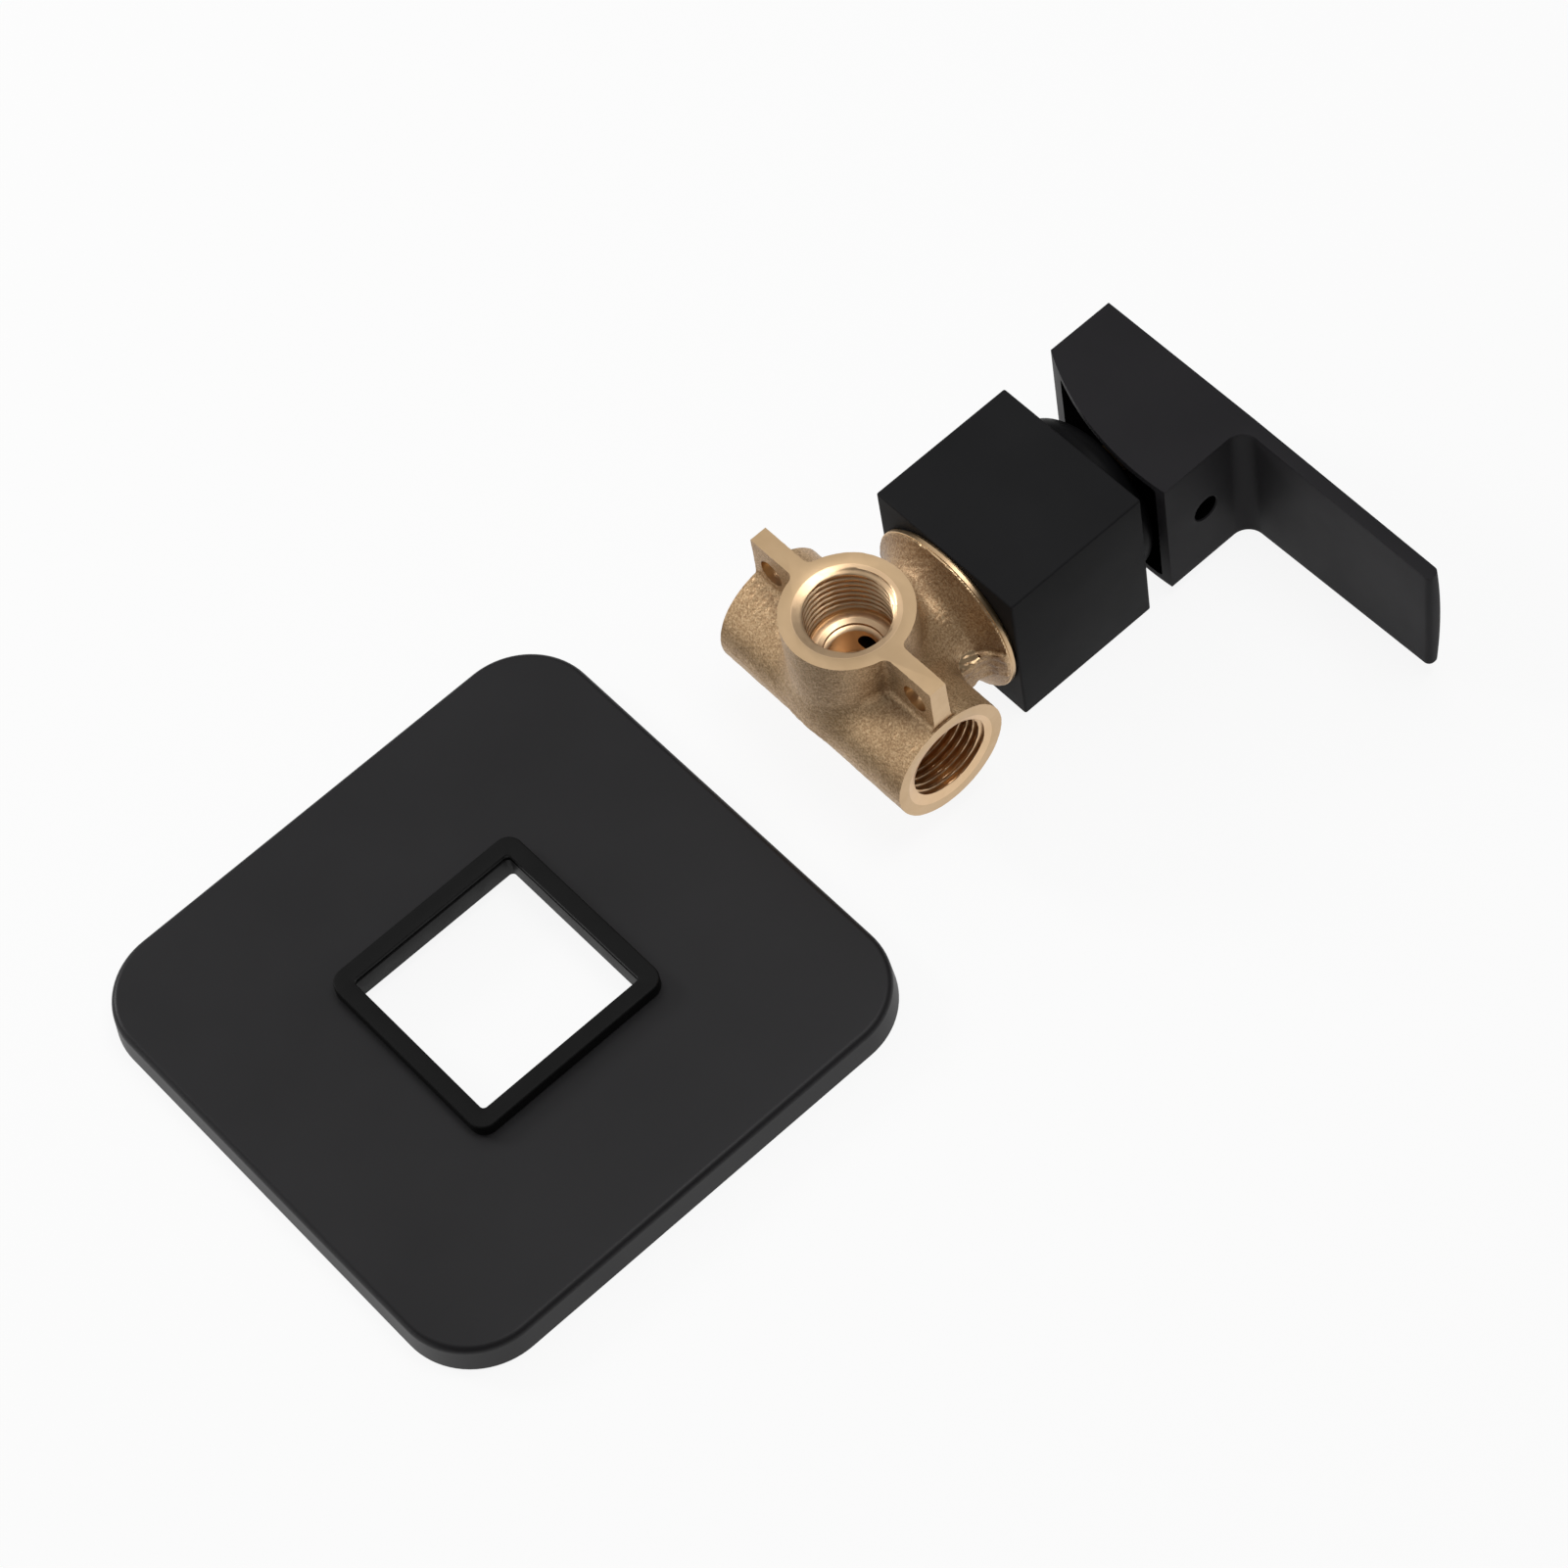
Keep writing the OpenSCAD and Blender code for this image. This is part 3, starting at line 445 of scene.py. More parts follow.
def noise(nt, coord, scale, detail, rough):
    n = nt.nodes.new("ShaderNodeTexNoise")
    n.inputs["Scale"].default_value = scale
    n.inputs["Detail"].default_value = detail
    n.inputs["Roughness"].default_value = rough
    nt.links.new(coord, n.inputs["Vector"])
    return n.outputs["Fac"]


def ramp(nt, fac, stops):
    r = nt.nodes.new("ShaderNodeValToRGB")
    cr = r.color_ramp
    cr.elements[0].position, cr.elements[0].color = stops[0][0], (*stops[0][1], 1)
    cr.elements[1].position, cr.elements[1].color = stops[-1][0], (*stops[-1][1], 1)
    for p, c in stops[1:-1]:
        e = cr.elements.new(p)
        e.color = (*c, 1)
    nt.links.new(fac, r.inputs[0])
    return r.outputs[0]


def map_range(nt, fac, a, b, c, d):
    n = nt.nodes.new("ShaderNodeMapRange")
    for i, v in enumerate((a, b, c, d)):
        n.inputs[i + 1].default_value = v
    nt.links.new(fac, n.inputs[0])
    return n.outputs[0]


def math_node(nt, op, a, b):
    n = nt.nodes.new("ShaderNodeMath")
    n.operation = op
    for i, v in enumerate((a, b)):
        if isinstance(v, (int, float)):
            n.inputs[i].default_value = v
        else:
            nt.links.new(v, n.inputs[i])
    return n.outputs[0]


def bump(nt, bsdf, height, strength, distance):
    b = nt.nodes.new("ShaderNodeBump")
    b.inputs["Strength"].default_value = strength
    b.inputs["Distance"].default_value = distance
    nt.links.new(height, b.inputs["Height"])
    nt.links.new(b.outputs[0], bsdf.inputs["Normal"])


def srgb(r, g, b):
    def f(c):
        c /= 255.0
        return c / 12.92 if c <= 0.04045 else ((c + 0.055) / 1.055) ** 2.4
    return (f(r), f(g), f(b))


def mottle(nt, bsdf, fac, base, darker, lighter):
    """Base colour that wanders about an 8-bit sRGB tone with the noise."""
    dark = srgb(*[c - darker for c in base])
    light = srgb(*[min(255, c + lighter) for c in base])
    nt.links.new(ramp(nt, fac, [(0.3, dark), (0.7, light)]), bsdf.inputs["Base Color"])


def roughness(nt, bsdf, fac, low, high):
    nt.links.new(map_range(nt, fac, 0.3, 0.7, low, high), bsdf.inputs["Roughness"])


def satin_black(name, base, rough, spec, cloud=1.5, size=60.0):
    m, nt, b = new_material(name)
    co = texture_coords(nt)
    fine = noise(nt, co, 2600.0, 2.0, 0.5)
    broad = noise(nt, co, size, 3.0, 0.5)
    mottle(nt, b, broad, base, cloud, cloud)
    roughness(nt, b, broad, *rough)
    b.inputs["Specular IOR Level"].default_value = spec
    bump(nt, b, fine, 0.08, 0.00006)
    return m


def rubber(name, base, spec):
    m, nt, b = new_material(name)
    co = texture_coords(nt)
    fine = noise(nt, co, 1800.0, 3.0, 0.6)
    broad = noise(nt, co, 140.0, 3.0, 0.5)
    mottle(nt, b, broad, base, 2, 2)
    roughness(nt, b, broad, 0.46, 0.56)
    b.inputs["Specular IOR Level"].default_value = spec
    bump(nt, b, fine, 0.2, 0.00008)
    return m


def cast_brass():
    m, nt, b = new_material("cast_brass")
    co = texture_coords(nt)
    grain = noise(nt, co, 2300.0, 2.0, 0.6)
    mid = noise(nt, co, 800.0, 3.0, 0.6)
    broad = noise(nt, co, 70.0, 2.0, 0.5)
    tone = math_node(nt, "ADD", math_node(nt, "MULTIPLY", grain, 0.75),
                     math_node(nt, "MULTIPLY", mid, 0.12))
    tone = math_node(nt, "ADD", tone, math_node(nt, "MULTIPLY", broad, 0.13))
    skin = ramp(nt, tone, [(0.38, srgb(172, 136, 97)), (0.5, srgb(203, 168, 126)),
                           (0.62, srgb(228, 196, 153))])
    # painted shade: the AO node darkens the base colour towards dark brown in the casting's
    # recesses and creases
    ao = nt.nodes.new("ShaderNodeAmbientOcclusion")
    ao.samples = 6
    ao.only_local = True
    ao.inputs["Distance"].default_value = 0.018
    recess_shade = nt.nodes.new("ShaderNodeMix")
    recess_shade.data_type = "RGBA"
    nt.links.new(map_range(nt, ao.outputs["AO"], 0.38, 0.8, 0.0, 1.0), recess_shade.inputs[0])
    recess_shade.inputs[6].default_value = (*srgb(84, 56, 34), 1)
    nt.links.new(skin, recess_shade.inputs[7])
    nt.links.new(recess_shade.outputs[2], b.inputs["Base Color"])
    roughness(nt, b, mid, 0.38, 0.5)
    b.inputs["Metallic"].default_value = 0.55
    height = math_node(nt, "ADD", grain, math_node(nt, "MULTIPLY", mid, 0.35))
    bump(nt, b, height, 0.6, 0.00013)
    return m


def machined_brass(name, rough, tint, texture=0.1):
    m, nt, b = new_material(name)
    co = texture_coords(nt)
    fine = noise(nt, co, 900.0, 3.0, 0.6)
    broad = noise(nt, co, 90.0, 3.0, 0.5)
    mottle(nt, b, broad, tint, 7, 6)
    roughness(nt, b, fine, rough - 0.03, rough + 0.05)
    b.inputs["Metallic"].default_value = 1.0
    if texture:
        bump(nt, b, fine, texture, 0.00004)
    return m


def plastic(name, base, rough=0.4):
    m, nt, b = new_material(name)
    co = texture_coords(nt)
    broad = noise(nt, co, 220.0, 3.0, 0.5)
    mottle(nt, b, broad, base, 5, 4)
    roughness(nt, b, broad, rough - 0.05, rough + 0.05)
    bump(nt, b, noise(nt, co, 1500.0, 2.0, 0.5), 0.08, 0.00005)
    return m


def steel():
    m, nt, b = new_material("stainless_steel")
    co = texture_coords(nt)
    fine = noise(nt, co, 700.0, 3.0, 0.6)
    mottle(nt, b, fine, (189, 191, 195), 11, 11)
    roughness(nt, b, fine, 0.24, 0.36)
    b.inputs["Metallic"].default_value = 1.0
    bump(nt, b, fine, 0.1, 0.00004)
    return m


MAT = {
    "sleeve": satin_black("satin_black_sleeve", (35, 35, 36), (0.5, 0.58), 0.05),
    "handle": satin_black("satin_black_handle", (41, 40, 42), (0.48, 0.56), 0.08),
    "plate": satin_black("satin_black_plate", (27, 26, 28), (0.4, 0.48), 0.28, 3.0, 28.0),
    # the dome is far darker than the sleeve: painted shade of the gap under the handle
    "dome": satin_black("satin_black_dome_painted_shade", (15, 15, 16), (0.4, 0.46), 0.06),
    # near-black without any reflection for the handle's cavity and socket: painted shade
    "hollow": satin_black("painted_shade_black", (7, 7, 7), (0.85, 0.95), 0.0),
    "collar": rubber("collar_rubber", (22, 22, 22), 0.1),
    "seal": rubber("seal_rubber", (20, 20, 20), 0.12),
    "cast": cast_brass(),
    "cut": machined_brass("machined_brass", 0.34, (208, 177, 138)),
    "thread": machined_brass("threaded_brass", 0.33, (230, 196, 156), 0),
    # dark brass for the lever stem and the retaining nut: painted shade of the gap between the dome
    # and the handle
    "shade_brass": machined_brass("stem_nut_painted_shade", 0.5, (96, 78, 54)),
    "grey": plastic("grey_plastic", (140, 143, 148)),
    "white": plastic("white_plastic", (228, 228, 222)),
    "ceramic_white": plastic("white_ceramic", (238, 236, 228), 0.18),
    "ceramic_grey": plastic("grey_ceramic", (158, 163, 168), 0.18),
    "steel": steel(),
}


def set_material(ob, *mats):
    ob.data.materials.clear()
    for m in mats:
        ob.data.materials.append(m)


# ---------------------------------------------------------------- valve body
def valve_cutters():
    """What is bored and machined off the raw casting with its cup, in the order of the cuts."""
    chamber = revolve([(0, CARTRIDGE_Y), (CARTRIDGE_R, CARTRIDGE_Y), (CARTRIDGE_R, NUT_Y),
                       (NUT_R, NUT_Y), (NUT_R, 30), (0, 30)], 128)
    cuts = [cutter("cartridge_chamber", chamber)]
    for lo, hi in (((TUBE_X, -60, -30), (40, 20, 40)), ((-40, -60, -30), (-TUBE_X, 20, 40)),
                   ((-40, -60, OUTLET_Z), (40, -4, 40))):
        cuts.append(cutter("machining_stock", box_mesh(lo, hi)))
    # below the outlet's thread the relief steps down to a narrower chamber
    chamber_r, chamber_z = 5.5, 3.2
    floor_s = -(OUTLET_DEPTH + OUTLET_RELIEF)
    steps = [(floor_s - s, r) for s, r in ((0.02, 7.9), (0.1, 7.7), (0.5, 6.7), (1.1, 6.6),
                                           (1.15, 6.4), (1.45, 5.7), (1.6, chamber_r))]
    v, f = port_cutter(OUTLET_DEPTH, OUTLET_RELIEF, steps + [(chamber_z - OUTLET_Z, chamber_r)])
    outlet = np.stack([v[:, 1], v[:, 2] + TUBE_Y, v[:, 0] + OUTLET_Z], 1)
    cuts.append(cutter("outlet_port", (outlet, f)))
    for s in (1, -1):
        v, f = port_cutter(INLET_DEPTH, INLET_RELIEF)
        inlet = np.stack([v[:, 0] + TUBE_X, v[:, 1] * s + TUBE_Y, v[:, 2]], 1)
        inlet[:, 0] *= s
        cuts.append(cutter("inlet_port", (inlet, f)))
        cuts.append(cutter("ear_hole", cylinder_between((s * EAR_X, TUBE_Y - 8, EAR_Z),
                                                        (s * EAR_X, TUBE_Y + 8, EAR_Z), EAR_R, 64)))
        # the ear's end face stands back from the tube's end face
        x0, x1 = sorted((s * (TUBE_X - EAR_INSET), s * 40))
        trim = cutter("ear_end", box_mesh((x0, TUBE_Y - 6, 12.0), (x1, TUBE_Y + 6, 40)))
        tube = cylinder_between((-45, TUBE_Y, 0), (45, TUBE_Y, 0), TUBE_R + 0.05, 160)
        cuts.append(boolean(trim, [cutter("tube_kept", tube)]))
    # water ways, each from a port of the cartridge to an inlet or the outlet
    for (x, z), end in (((4.6, 6.5), (13.7, TUBE_Y, 0)), ((4.6, -6.5), (-13.7, TUBE_Y, 0)),
                        ((-6, 0), (0, TUBE_Y, 8.2))):
        cuts.append(cutter("way_mouth", cylinder_between((x, -3.0, z), (x, 2.0, z), 2.9)))
        cuts.append(cutter("way", cylinder_between((x, -2.4, z), end, 2.8)))
    return cuts


def polygon_vectors(me, attribute):
    a = np.zeros(len(me.polygons) * 3)
    me.polygons.foreach_get(attribute, a)
    return a.reshape(-1, 3)


def valve_face_slots(me):
    """The material slot of each face: cast skin, machined face or threaded port."""
    nrm = polygon_vectors(me, "normal")
    x, y, z = (polygon_vectors(me, "center") * 1000 - SHIFT).T
    # end faces of the tube and ears, top of the boss and ears, flange rim, cup
    cut = (np.abs(x) > TUBE_X - EAR_INSET - 0.02) & (np.abs(nrm[:, 0]) > 0.95)
    cut |= (z > OUTLET_Z - 0.02) & (nrm[:, 2] > 0.9)
    cut |= (y > FLANGE_Y - 0.3) & (np.hypot(x, z) > FLANGE_R - 0.6)
    cut |= y > -0.55
    # sawn face of the gate stub, holes of the ears
    sawn = (y > -12.6) & (y < -6.2) & (x > 13.3) & (x < 16.6) & (z > 2.6)
    cut |= sawn & (SAW_NX * nrm[:, 0] + SAW_NZ * nrm[:, 2] > 0.86)
    cut |= (np.hypot(np.abs(x) - EAR_X, z - EAR_Z) < EAR_R + 0.02) & (np.abs(y - TUBE_Y) < 3)
    port = np.hypot(y - TUBE_Y, z) < MOUTH_R + 0.02
    port &= (np.abs(x) > 11.5) & (np.abs(x) < TUBE_X - 0.01)
    port |= (np.hypot(x, y - TUBE_Y) < MOUTH_R + 0.02) & (z > 2.9) & (z < OUTLET_Z - 0.01)
    return np.where(port, FACE_THREAD, np.where(cut, FACE_CUT, FACE_CAST))


def build_valve_body():
    v, f = surface_nets(cast_field, (-30.6, -41.75, -20.97), (30.6, 0.6, 29.6), CAST_GRID)
    body = make_object("brass_valve_body", v, f, smooth_angle=None)
    # flange rim and cartridge cup, turned, with the groove of the sleeve's o-ring
    cup = revolve([(0, -1.3), (FLANGE_R - 0.7, -1.3), (FLANGE_R - 0.5, FLANGE_Y - 0.05),
                   (FLANGE_R - 0.12, FLANGE_Y), (FLANGE_R, FLANGE_Y + 0.12),
                   (FLANGE_R, -FLANGE_GAP - 0.1), (FLANGE_R - 0.1, -FLANGE_GAP),
                   (CUP_R, -FLANGE_GAP), (CUP_R, 0.2), (RING_GROOVE_R, 0.2), (RING_GROOVE_R, 1.7),
                   (CUP_R, 1.7), (CUP_R, CUP_END - 0.3), (CUP_R - 0.3, CUP_END), (0, CUP_END)], 192)
    boolean(body, [cutter("cup", cup)], "UNION")
    boolean(body, valve_cutters())
    finish_normals(body, 32.0)
    set_material(body, MAT["cast"], MAT["cut"], MAT["thread"])
    body.data.polygons.foreach_set("material_index", valve_face_slots(body.data).astype(np.int32))
    body.data.update()
    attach(body, "valve")
    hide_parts("valve_body")


# ---------------------------------------------------------------- sleeve and dome
def build_sleeve():
    w = SLEEVE_W / 2
    block = box_mesh((-w, 0, -w), (w, SLEEVE_L, w))
    ob = bevelled(block, 0.5, "square_sleeve_black")
    inner_y = SLEEVE_L - SLEEVE_FRONT_T
    bore = revolve([(0, -2), (SLEEVE_BORE_R + 0.5, -2), (SLEEVE_BORE_R + 0.5, 0.0),
                    (SLEEVE_BORE_R, 0.5), (SLEEVE_BORE_R, inner_y), (SLEEVE_EYE_R, inner_y),
                    (SLEEVE_EYE_R, 40), (0, 40)], 160)
    boolean(ob, [cutter("bore", bore)])
    finish_normals(ob, 25.0)
    set_material(ob, MAT["sleeve"])
    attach(ob, "valve")
    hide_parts("square_sleeve")


def build_dome():
    # outer and inner shell are ellipses about y1, with half axes a, b and ai, bi
    a, b = SLEEVE_W / 2 - DOME_INSET, DOME_RISE
    ai, bi = a - DOME_WALL, b - DOME_WALL
    y0 = SLEEVE_L
    y1 = y0 + DOME_FOOT
    prof = [(DOME_NECK_IN, DOME_NECK_Y), (DOME_NECK_OUT - 0.2, DOME_NECK_Y),
            (DOME_NECK_OUT, DOME_NECK_Y + 0.2), (DOME_NECK_OUT, y0), (a - 0.25, y0),
            (a, y0 + 0.25), (a, y1)]
    for t in range(3, 90, 3):
        r, yy = a * math.cos(math.radians(t)), y1 + b * math.sin(math.radians(t))
        if r < DOME_EYE_R + 0.25:
            break
        prof.append((r, yy))
    crown = y1 + b * math.sqrt(1 - ((DOME_EYE_R + 0.1) / a) ** 2)
    prof += [(DOME_EYE_R + 0.1, crown), (DOME_EYE_R, crown - 0.15)]
    prof.append((DOME_EYE_R, y1 + bi * math.sqrt(1 - (DOME_EYE_R / ai) ** 2)))
    for t in range(30, 0, -4):
        r = ai * math.cos(math.radians(t))
        if r > DOME_EYE_R + 0.2:
            prof.append((r, y1 + bi * math.sin(math.radians(t))))
    prof += [(ai, y1), (ai, y0 + DOME_WALL), (DOME_NECK_IN, y0 + DOME_WALL)]
    ob = make_object("dome_cap_black", *revolve(prof, 192), smooth_angle=28.0)
    set_material(ob, MAT["dome"])
    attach(ob, "valve")
    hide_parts("dome_cap")


# ---------------------------------------------------------------- handle
def arc(cx, cy, r, a0, a1, n):
    return [(cx + r * math.cos(math.radians(a0 + (a1 - a0) * i / n)),
             cy + r * math.sin(math.radians(a0 + (a1 - a0) * i / n))) for i in range(n + 1)]


def rear_angle(x):
    """Angle at which the arc of the block's rear face passes x."""
    dx = x - REAR_ARC_X
    return math.degrees(math.atan2(-math.sqrt(REAR_ARC_R ** 2 - dx ** 2), dx))


REAR_ARC_Y = HANDLE_Y - BLOCK_DEPTH + REAR_ARC_R


def handle_outline():
    """Outline of the handle seen along z, from the rear arc round the lever, with the places
    in it where the arc ends and where the block's front face begins."""
    lever_y = HANDLE_Y - LEVER_T
    n_arc, n_inner, n_outer = 44, 30, 40
    pts = arc(REAR_ARC_X, REAR_ARC_Y, REAR_ARC_R, rear_angle(HANDLE_BACK),
              rear_angle(HANDLE_FRONT), n_arc)
    pts += arc(HANDLE_FRONT + INNER_FILLET, lever_y - INNER_FILLET, INNER_FILLET, 180, 90, 14)
    pts += [(HANDLE_FRONT + INNER_FILLET
             + (LEVER_TIP - TIP_R - HANDLE_FRONT - INNER_FILLET) * i / n_inner, lever_y)
            for i in range(1, n_inner)]
    pts += arc(LEVER_TIP - TIP_R, lever_y + TIP_R, TIP_R, -90, 0, 6)
    pts += arc(LEVER_TIP - TIP_R, HANDLE_Y - TIP_R, TIP_R, 0, 90, 6)
    xs = [LEVER_TIP - TIP_R + (HANDLE_BACK - LEVER_TIP + TIP_R) * i / n_outer
          for i in range(1, n_outer + 1)]
    # one of the points lies where the lever's taper starts
    k = int(np.argmin([abs(x - HANDLE_FRONT) for x in xs[:-1]]))
    xs[k] = HANDLE_FRONT
    i_top = len(pts) + k
    pts += [(x, HANDLE_Y) for x in xs]
    return np.array(pts), n_arc, i_top


def handle_mesh():
    """The outline drawn out along z, its two end caps each in two flat parts."""
    outline, i_arc_end, i_top = handle_outline()
    m, nz = len(outline), 28
    v = np.concatenate([np.column_stack([outline, np.full(m, z)])
                        for z in np.linspace(-HANDLE_HALF, HANDLE_HALF, nz + 1)])
    faces = grid_faces(m, nz + 1)
    block = list(range(0, i_arc_end + 2)) + list(range(i_top, m))
    lever = list(range(i_arc_end + 1, i_top + 1))
    for part in (block, lever):
        faces.append(part[::-1])
    for part in (block, lever):
        faces.append([nz * m + i for i in part])
    return v, faces


def shape_handle(ob):
    """Rounds the edges, crowns the front face and tapers the lever."""
    crown, crown_start, crown_run = 0.9, HANDLE_Y - 2.6, 2.2
    bm = bmesh.new()
    bm.from_mesh(ob.data)
    bmesh.ops.remove_doubles(bm, verts=bm.verts, dist=1e-6)
    bmesh.ops.recalc_face_normals(bm, faces=bm.faces)
    bmesh.ops.bevel(bm, geom=sharp_edges(bm, 38), offset=0.0011, offset_type="OFFSET", segments=5,
                    profile=0.5, affect="EDGES", clamp_overlap=True)
    for vert in bm.verts:
        x, y, z = (np.array(vert.co) * 1000 - SHIFT)
        w = min(1.0, max(0.0, (y - crown_start) / crown_run))
        w = w * w * (3 - 2 * w)
        y += crown * (1 - (z / HANDLE_HALF) ** 2) * w
        if x > HANDLE_FRONT:
            z *= 1 - (1 - TIP_HALF / HANDLE_HALF) * (x - HANDLE_FRONT) / (LEVER_TIP - HANDLE_FRONT)
        vert.co = (np.array([x, y, z]) + SHIFT) / 1000
    bm.to_mesh(ob.data)
    bm.free()


def in_hollow(face):
    """Whether a face of the handle lies in its cavity or socket, and not on the rear arc."""
    x, y, z = np.array(face.center) * 1000 - SHIFT
    off_arc = abs(math.hypot(x - REAR_ARC_X, y - REAR_ARC_Y) - REAR_ARC_R) > 0.05
    return (CAVITY_LO[0] - 0.1 < x < CAVITY_HI[0] + 0.1 and y < SOCKET_END + 0.1
            and abs(z) < CAVITY_HI[2] + 0.1 and off_arc)


def build_handle():
    ob = cutter("lever_handle_black", handle_mesh())
    shape_handle(ob)
    cavity = bevelled(box_mesh(CAVITY_LO, CAVITY_HI), 1.0, "cavity")
    finish_normals(cavity, None)
    socket = cutter("socket", box_mesh((-SOCKET_HALF, 47, -SOCKET_HALF),
                                       (SOCKET_HALF, SOCKET_END, SOCKET_HALF)))
    grub = cutter("grub_hole", cylinder_between((0, GRUB_Y, 0), (30, GRUB_Y, 0), GRUB_R, 48))
    v, f = revolve([(0, 12.0), (3.1, 12.0), (3.1, 20.9), (3.45, 21.25), (3.45, 24), (0, 24)],
                   64, "x")
    access = cutter("access_hole", (v + [0, GRUB_Y, 0], f))
    boolean(ob, [cavity, socket, grub, access])
    finish_normals(ob, 24.0)
    set_material(ob, MAT["handle"], MAT["hollow"])
    # faces in the cavity and socket take the near-black of painted shade
    for face in ob.data.polygons:
        face.material_index = int(in_hollow(face))
    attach(ob, "lever")
    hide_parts("handle")


# ---------------------------------------------------------------- cover plate and collar
def square_loop(half, r):
    """Points round a square with round corners, counter-clockwise, the same number for any size."""
    per_corner, per_side = 20, 12
    out = []
    for q in range(4):
        a0 = q * 90.0
        cx = (half - r) * (1 if q in (0, 3) else -1)
        cy = (half - r) * (1 if q in (0, 1) else -1)
        for i in range(per_corner + 1):
            a = math.radians(a0 + 90.0 * i / per_corner)
            out.append((cx + r * math.cos(a), cy + r * math.sin(a)))
        nx = (half - r) * (1 if (q + 1) % 4 in (0, 3) else -1)
        ny = (half - r) * (1 if (q + 1) % 4 in (0, 1) else -1)
        a = math.radians(a0 + 90)
        p0 = np.array(out[-1])
        p1 = np.array((nx + r * math.cos(a), ny + r * math.sin(a)))
        for i in range(1, per_side):
            out.append(tuple(p0 + (p1 - p0) * i / per_side))
    return np.array(out)


def swept(name, rings):
    """A closed solid swept round a square: rings are (half side, corner radius, z), the last
    joins the first."""
    rows = []
    for half, r, z in rings:
        p = square_loop(half, r)
        rows.append(np.column_stack([p, np.full(len(p), z)]))
    n = len(rows[0])
    last = (len(rows) - 1) * n
    f = grid_faces(n, len(rows))
    f += [[last + i, last + (i + 1) % n, (i + 1) % n, i] for i in range(n)]
    return make_object(name, np.concatenate(rows), f, PLATE_SHIFT)


def rounding(half, cr, z, r, degrees):
    """Rings of a rounded edge of radius r; half, cr and z are those of its centre line."""
    return [(half + r * math.cos(math.radians(a)), cr + r * math.cos(math.radians(a)),
             z + r * math.sin(math.radians(a))) for a in degrees]


def build_plate():
    h, t, s = PLATE_H, SHEET_T, SHOULDER_R
    half, cr = PLATE_W / 2, PLATE_R
    foot, foot_cr = half + LEAN, cr + LEAN
    hole, hr = HOLE_HALF, HOLE_R

    def flat(k, z):
        """Ring of a flat face, k of the way from the shoulder to the hole."""
        return (half - s + (hole - half + s) * k, cr - s + (hr - cr + s) * k, z)

    rings = [(foot - EDGE, foot_cr - EDGE, 0.0), (foot, foot_cr, EDGE)]
    for i in range(1, 6):
        k = i / 5
        rings.append((half + LEAN * (1 - k), cr + LEAN * (1 - k), EDGE + (h - s - EDGE) * k))
    rings += rounding(half - s, cr - s, h - s, s, [90 * i / 12 for i in range(1, 13)])
    rings += [flat(k, h) for k in (0.15, 0.4, 0.7, 0.97)]
    rings += [(hole + EDGE, hr + EDGE, h), (hole, hr, h - EDGE),
              (hole, hr, h - t + EDGE), (hole + EDGE, hr + EDGE, h - t)]
    rings += [flat(k, h - t) for k in (0.7, 0.3)]
    rings += rounding(half - s, cr - s, h - s, s - t, [90 - 90 * i / 6 for i in range(0, 7)])
    rings.append((foot - t, foot_cr - t, EDGE))
    rings.append((foot - t + EDGE, foot_cr - t + EDGE, 0.0))
    ob = swept("cover_plate_black", rings)
    set_material(ob, MAT["plate"])
    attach(ob, "plate")
    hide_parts("cover_plate")


def build_collar():
    h, t = PLATE_H, SHEET_T
    o, cr, ir = COLLAR_OPEN / 2, COLLAR_R, COLLAR_IN_R
    out = o + COLLAR_WALL
    top, bot = h + COLLAR_RISE, h - COLLAR_DEPTH
    neck, nr = out - 1.0, cr - 1.0          # the waist that sits in the plate's hole
    lip = 0.45
    rings = [(neck, nr, h - t), (neck, nr, h), (out - EDGE, cr - EDGE, h), (out, cr, h + EDGE)]
    rings += rounding(out - lip, cr - lip, top - lip, lip, [90 * i / 6 for i in range(0, 7)])
    # down the inside and past its groove: the half side and the corner radius grow by the same
    # amount from the clear opening
    rings += [(o + g, ir + g, z) for g, z in (
        (0.3, top), (0.09, top - 0.09), (0, top - 0.3), (0, top - 0.9), (0.1, top - 1.0),
        (0.4, top - 1.05), (0.4, top - 1.9), (0.1, top - 2.0), (0, top - 2.1), (0, bot + 0.3),
        (0.1, bot + 0.08), (0.3, bot))]
    rings += [(out - 0.6, cr - 0.4, bot), (out - 0.2, cr, bot + 0.4), (out - 0.2, cr, h - t)]
    ob = swept("collar_rubber_black", rings)
    set_material(ob, MAT["collar"])
    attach(ob, "plate")
    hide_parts("plate_collar")


build_valve_body()
build_sleeve()
build_dome()
build_handle()
build_plate()
build_collar()

# ---------------------------------------------------------------- CAD nodes that stay
# the lever stem and the retaining nut take the dark brass of painted shade
for node, key in {"sleeve_o_ring": "seal", "cartridge_base": "grey", "port_seals": "seal",
                  "disc_seals": "seal", "fixed_disc": "ceramic_white",
                  "moving_disc": "ceramic_grey", "disc_carrier": "white",
                  "spindle_guide": "white", "pivot_pin": "steel", "lever_stem": "shade_brass",
                  "thrust_ring": "white", "cartridge_housing": "grey", "retaining_nut": "shade_brass",
                  "grub_screw": "steel"}.items():
    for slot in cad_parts[node].material_slots:
        slot.material = MAT[key]


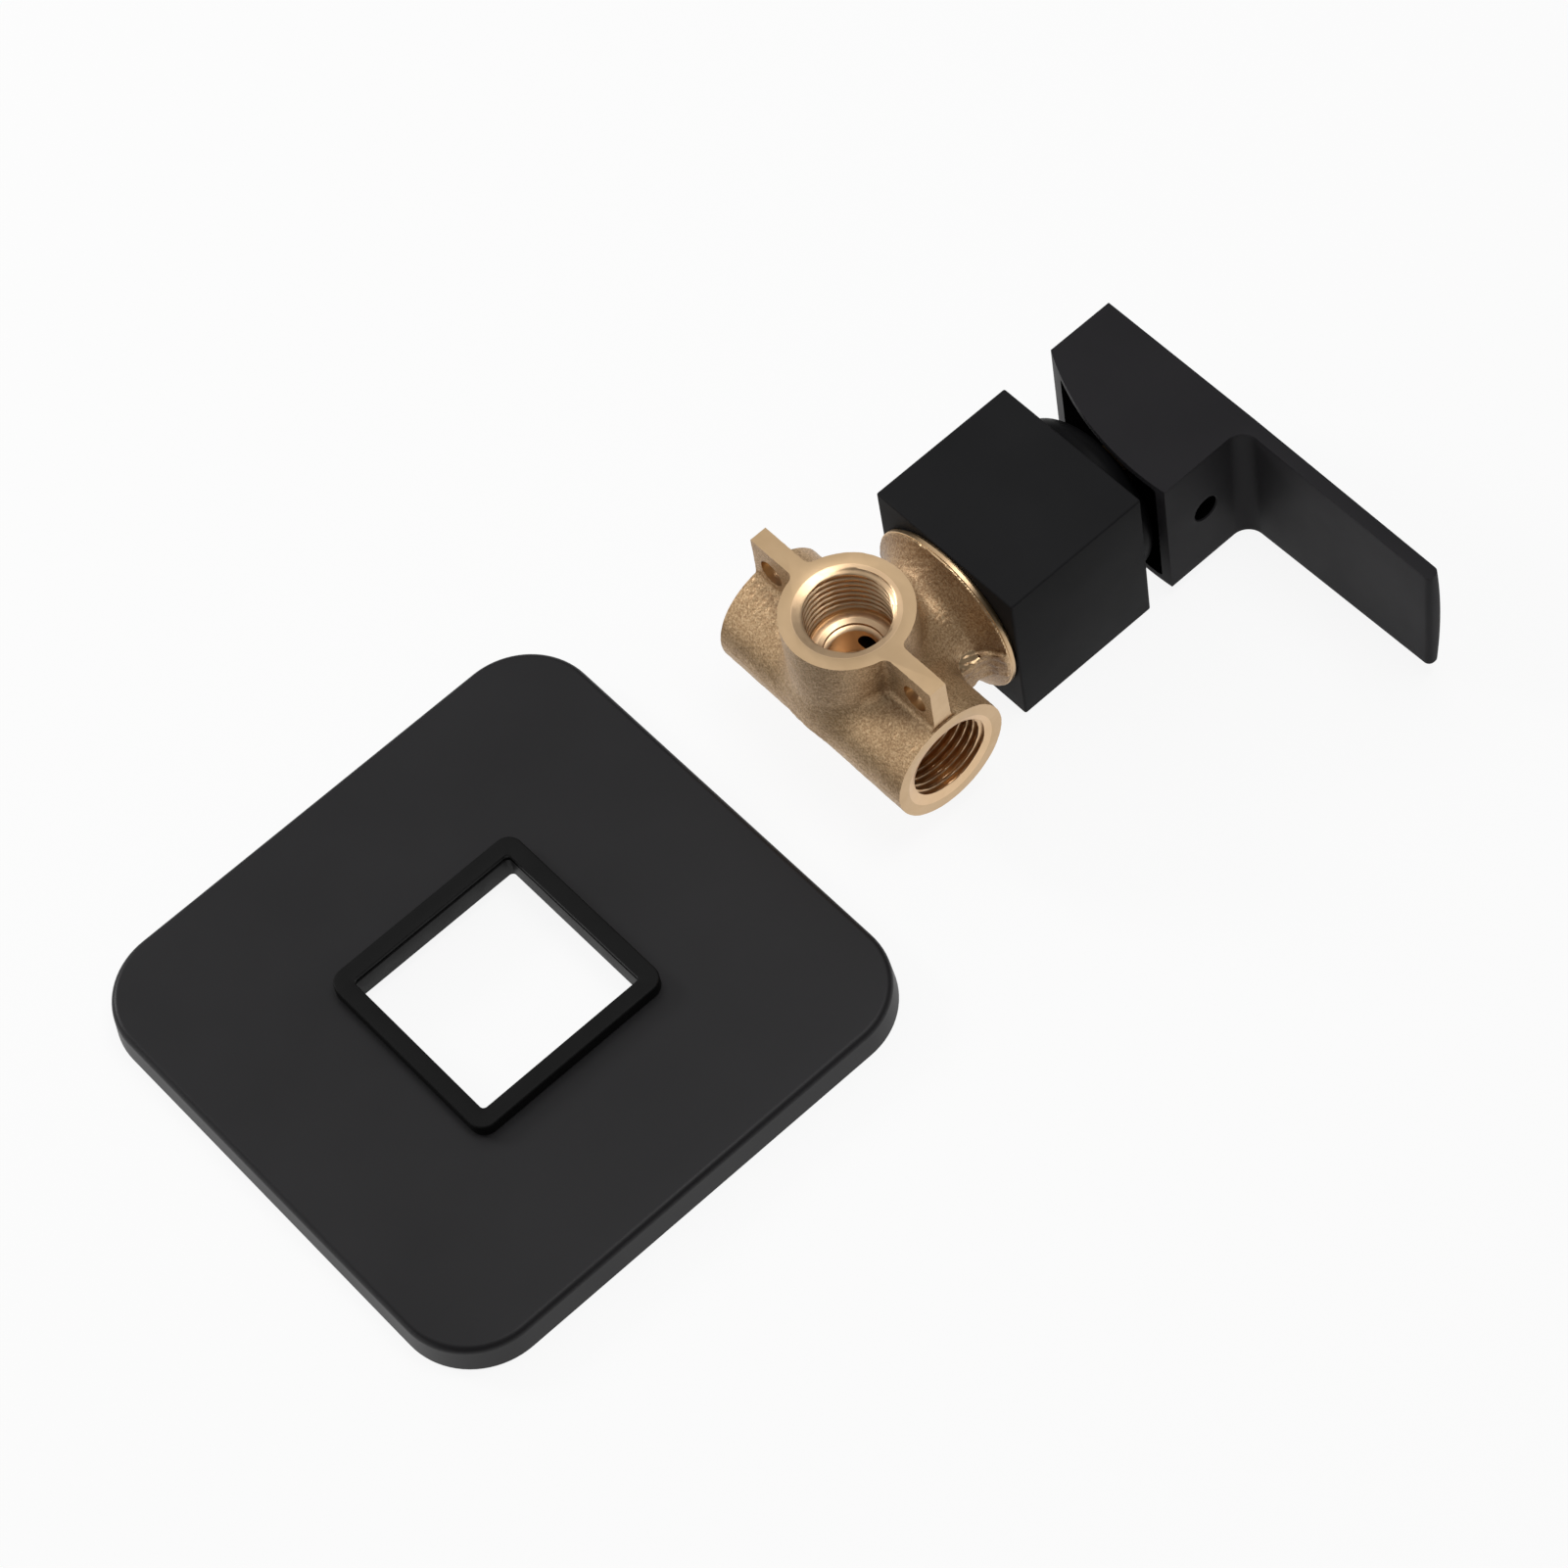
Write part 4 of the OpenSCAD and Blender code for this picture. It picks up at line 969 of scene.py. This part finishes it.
# ---------------------------------------------------------------- stage: floor, light, camera
def pale_floor():
    """Material that takes the soft shadows but looks nearly white itself, also in reflections."""
    m = bpy.data.materials.new("pale_floor")
    m.use_nodes = True
    nt = m.node_tree
    nt.nodes.clear()
    out = nt.nodes.new("ShaderNodeOutputMaterial")
    diffuse = nt.nodes.new("ShaderNodeBsdfDiffuse")
    diffuse.inputs[0].default_value = (0.9, 0.9, 0.9, 1)
    glow = nt.nodes.new("ShaderNodeEmission")
    glow.inputs[0].default_value = (1, 1, 1, 1)
    glow.inputs[1].default_value = 1.0
    mix = nt.nodes.new("ShaderNodeMixShader")
    path = nt.nodes.new("ShaderNodeLightPath")
    seen = math_node(nt, "MULTIPLY", path.outputs["Is Camera Ray"], 0.9)
    bounced = math_node(nt, "MAXIMUM", path.outputs["Is Glossy Ray"],
                        path.outputs["Is Transmission Ray"])
    mirrored = math_node(nt, "MULTIPLY", bounced, 0.8)
    nt.links.new(math_node(nt, "MAXIMUM", seen, mirrored), mix.inputs[0])
    nt.links.new(diffuse.outputs[0], mix.inputs[1])
    nt.links.new(glow.outputs[0], mix.inputs[2])
    nt.links.new(mix.outputs[0], out.inputs[0])
    return m


FLOOR_HALF, FLOOR_Z = 4, -0.0004            # metres; a little below the foot of the plate
floor_mesh = bpy.data.meshes.new("floor")
floor_mesh.from_pydata([(-FLOOR_HALF, -FLOOR_HALF, 0), (FLOOR_HALF, -FLOOR_HALF, 0),
                        (FLOOR_HALF, FLOOR_HALF, 0), (-FLOOR_HALF, FLOOR_HALF, 0)],
                       [], [(0, 1, 2, 3)])
floor = bpy.data.objects.new("floor", floor_mesh)
bpy.context.scene.collection.objects.link(floor)
floor.location.z = FLOOR_Z
floor_mesh.materials.append(pale_floor())

# white where the camera sees it, dim as a light
world = bpy.data.worlds.new("studio")
bpy.context.scene.world = world
world.use_nodes = True
wn = world.node_tree
wn.nodes.clear()
world_out = wn.nodes.new("ShaderNodeOutputWorld")
background = wn.nodes.new("ShaderNodeBackground")
background.inputs[0].default_value = (1, 1, 1, 1)
world_path = wn.nodes.new("ShaderNodeLightPath")
strength = math_node(wn, "ADD", math_node(wn, "MULTIPLY", world_path.outputs["Is Camera Ray"],
                                          0.83), 0.17)
wn.links.new(strength, background.inputs[1])
wn.links.new(background.outputs[0], world_out.inputs[0])


def area_light(name, place, size, power):
    d = bpy.data.lights.new(name, "AREA")
    d.shape = "RECTANGLE"
    d.size, d.size_y = size
    d.energy = power
    ob = bpy.data.objects.new(name, d)
    ob.location = place
    ob.rotation_euler = (-Vector(place)).to_track_quat("-Z", "Y").to_euler()
    bpy.context.scene.collection.objects.link(ob)


area_light("softbox", (-0.5, 0.12, 0.9), (1.2, 1.2), 2.6)
area_light("key", (0.15, 0.28, 1.1), (0.5, 0.5), 4.0)
area_light("side", (-1.0, -0.45, 0.6), (0.3, 0.3), 4.5)
area_light("fill", (-0.4, -1.1, 0.3), (1.0, 0.4), 1.5)

# camera fitted to the photograph; the rows of CAM_ROT are its right, down and forward directions
FOCAL_PX, FRAME_PX, SENSOR_MM = 5000.0, 1601.0, 36.0
CAM_ROT = np.array([[0.66408177, 0.73889963, -0.11411723],
                    [0.59828545, -0.61671546, -0.5115824],
                    [-0.4483859, 0.27145787, -0.8516224]])
CAM_PLACE = (np.array([457.57899289, -326.44983511, 855.42918535]) + SHIFT) / 1000
cam_data = bpy.data.cameras.new("camera")
cam_data.sensor_width = SENSOR_MM
cam_data.lens = FOCAL_PX * SENSOR_MM / FRAME_PX
cam_data.clip_start = 0.01
cam = bpy.data.objects.new("camera", cam_data)
bpy.context.scene.collection.objects.link(cam)
M = np.eye(4)
M[:3, 0], M[:3, 1], M[:3, 2], M[:3, 3] = CAM_ROT[0], -CAM_ROT[1], -CAM_ROT[2], CAM_PLACE
cam.matrix_world = Matrix(M.tolist())
bpy.context.scene.camera = cam
bpy.context.scene.view_settings.view_transform = "Standard"
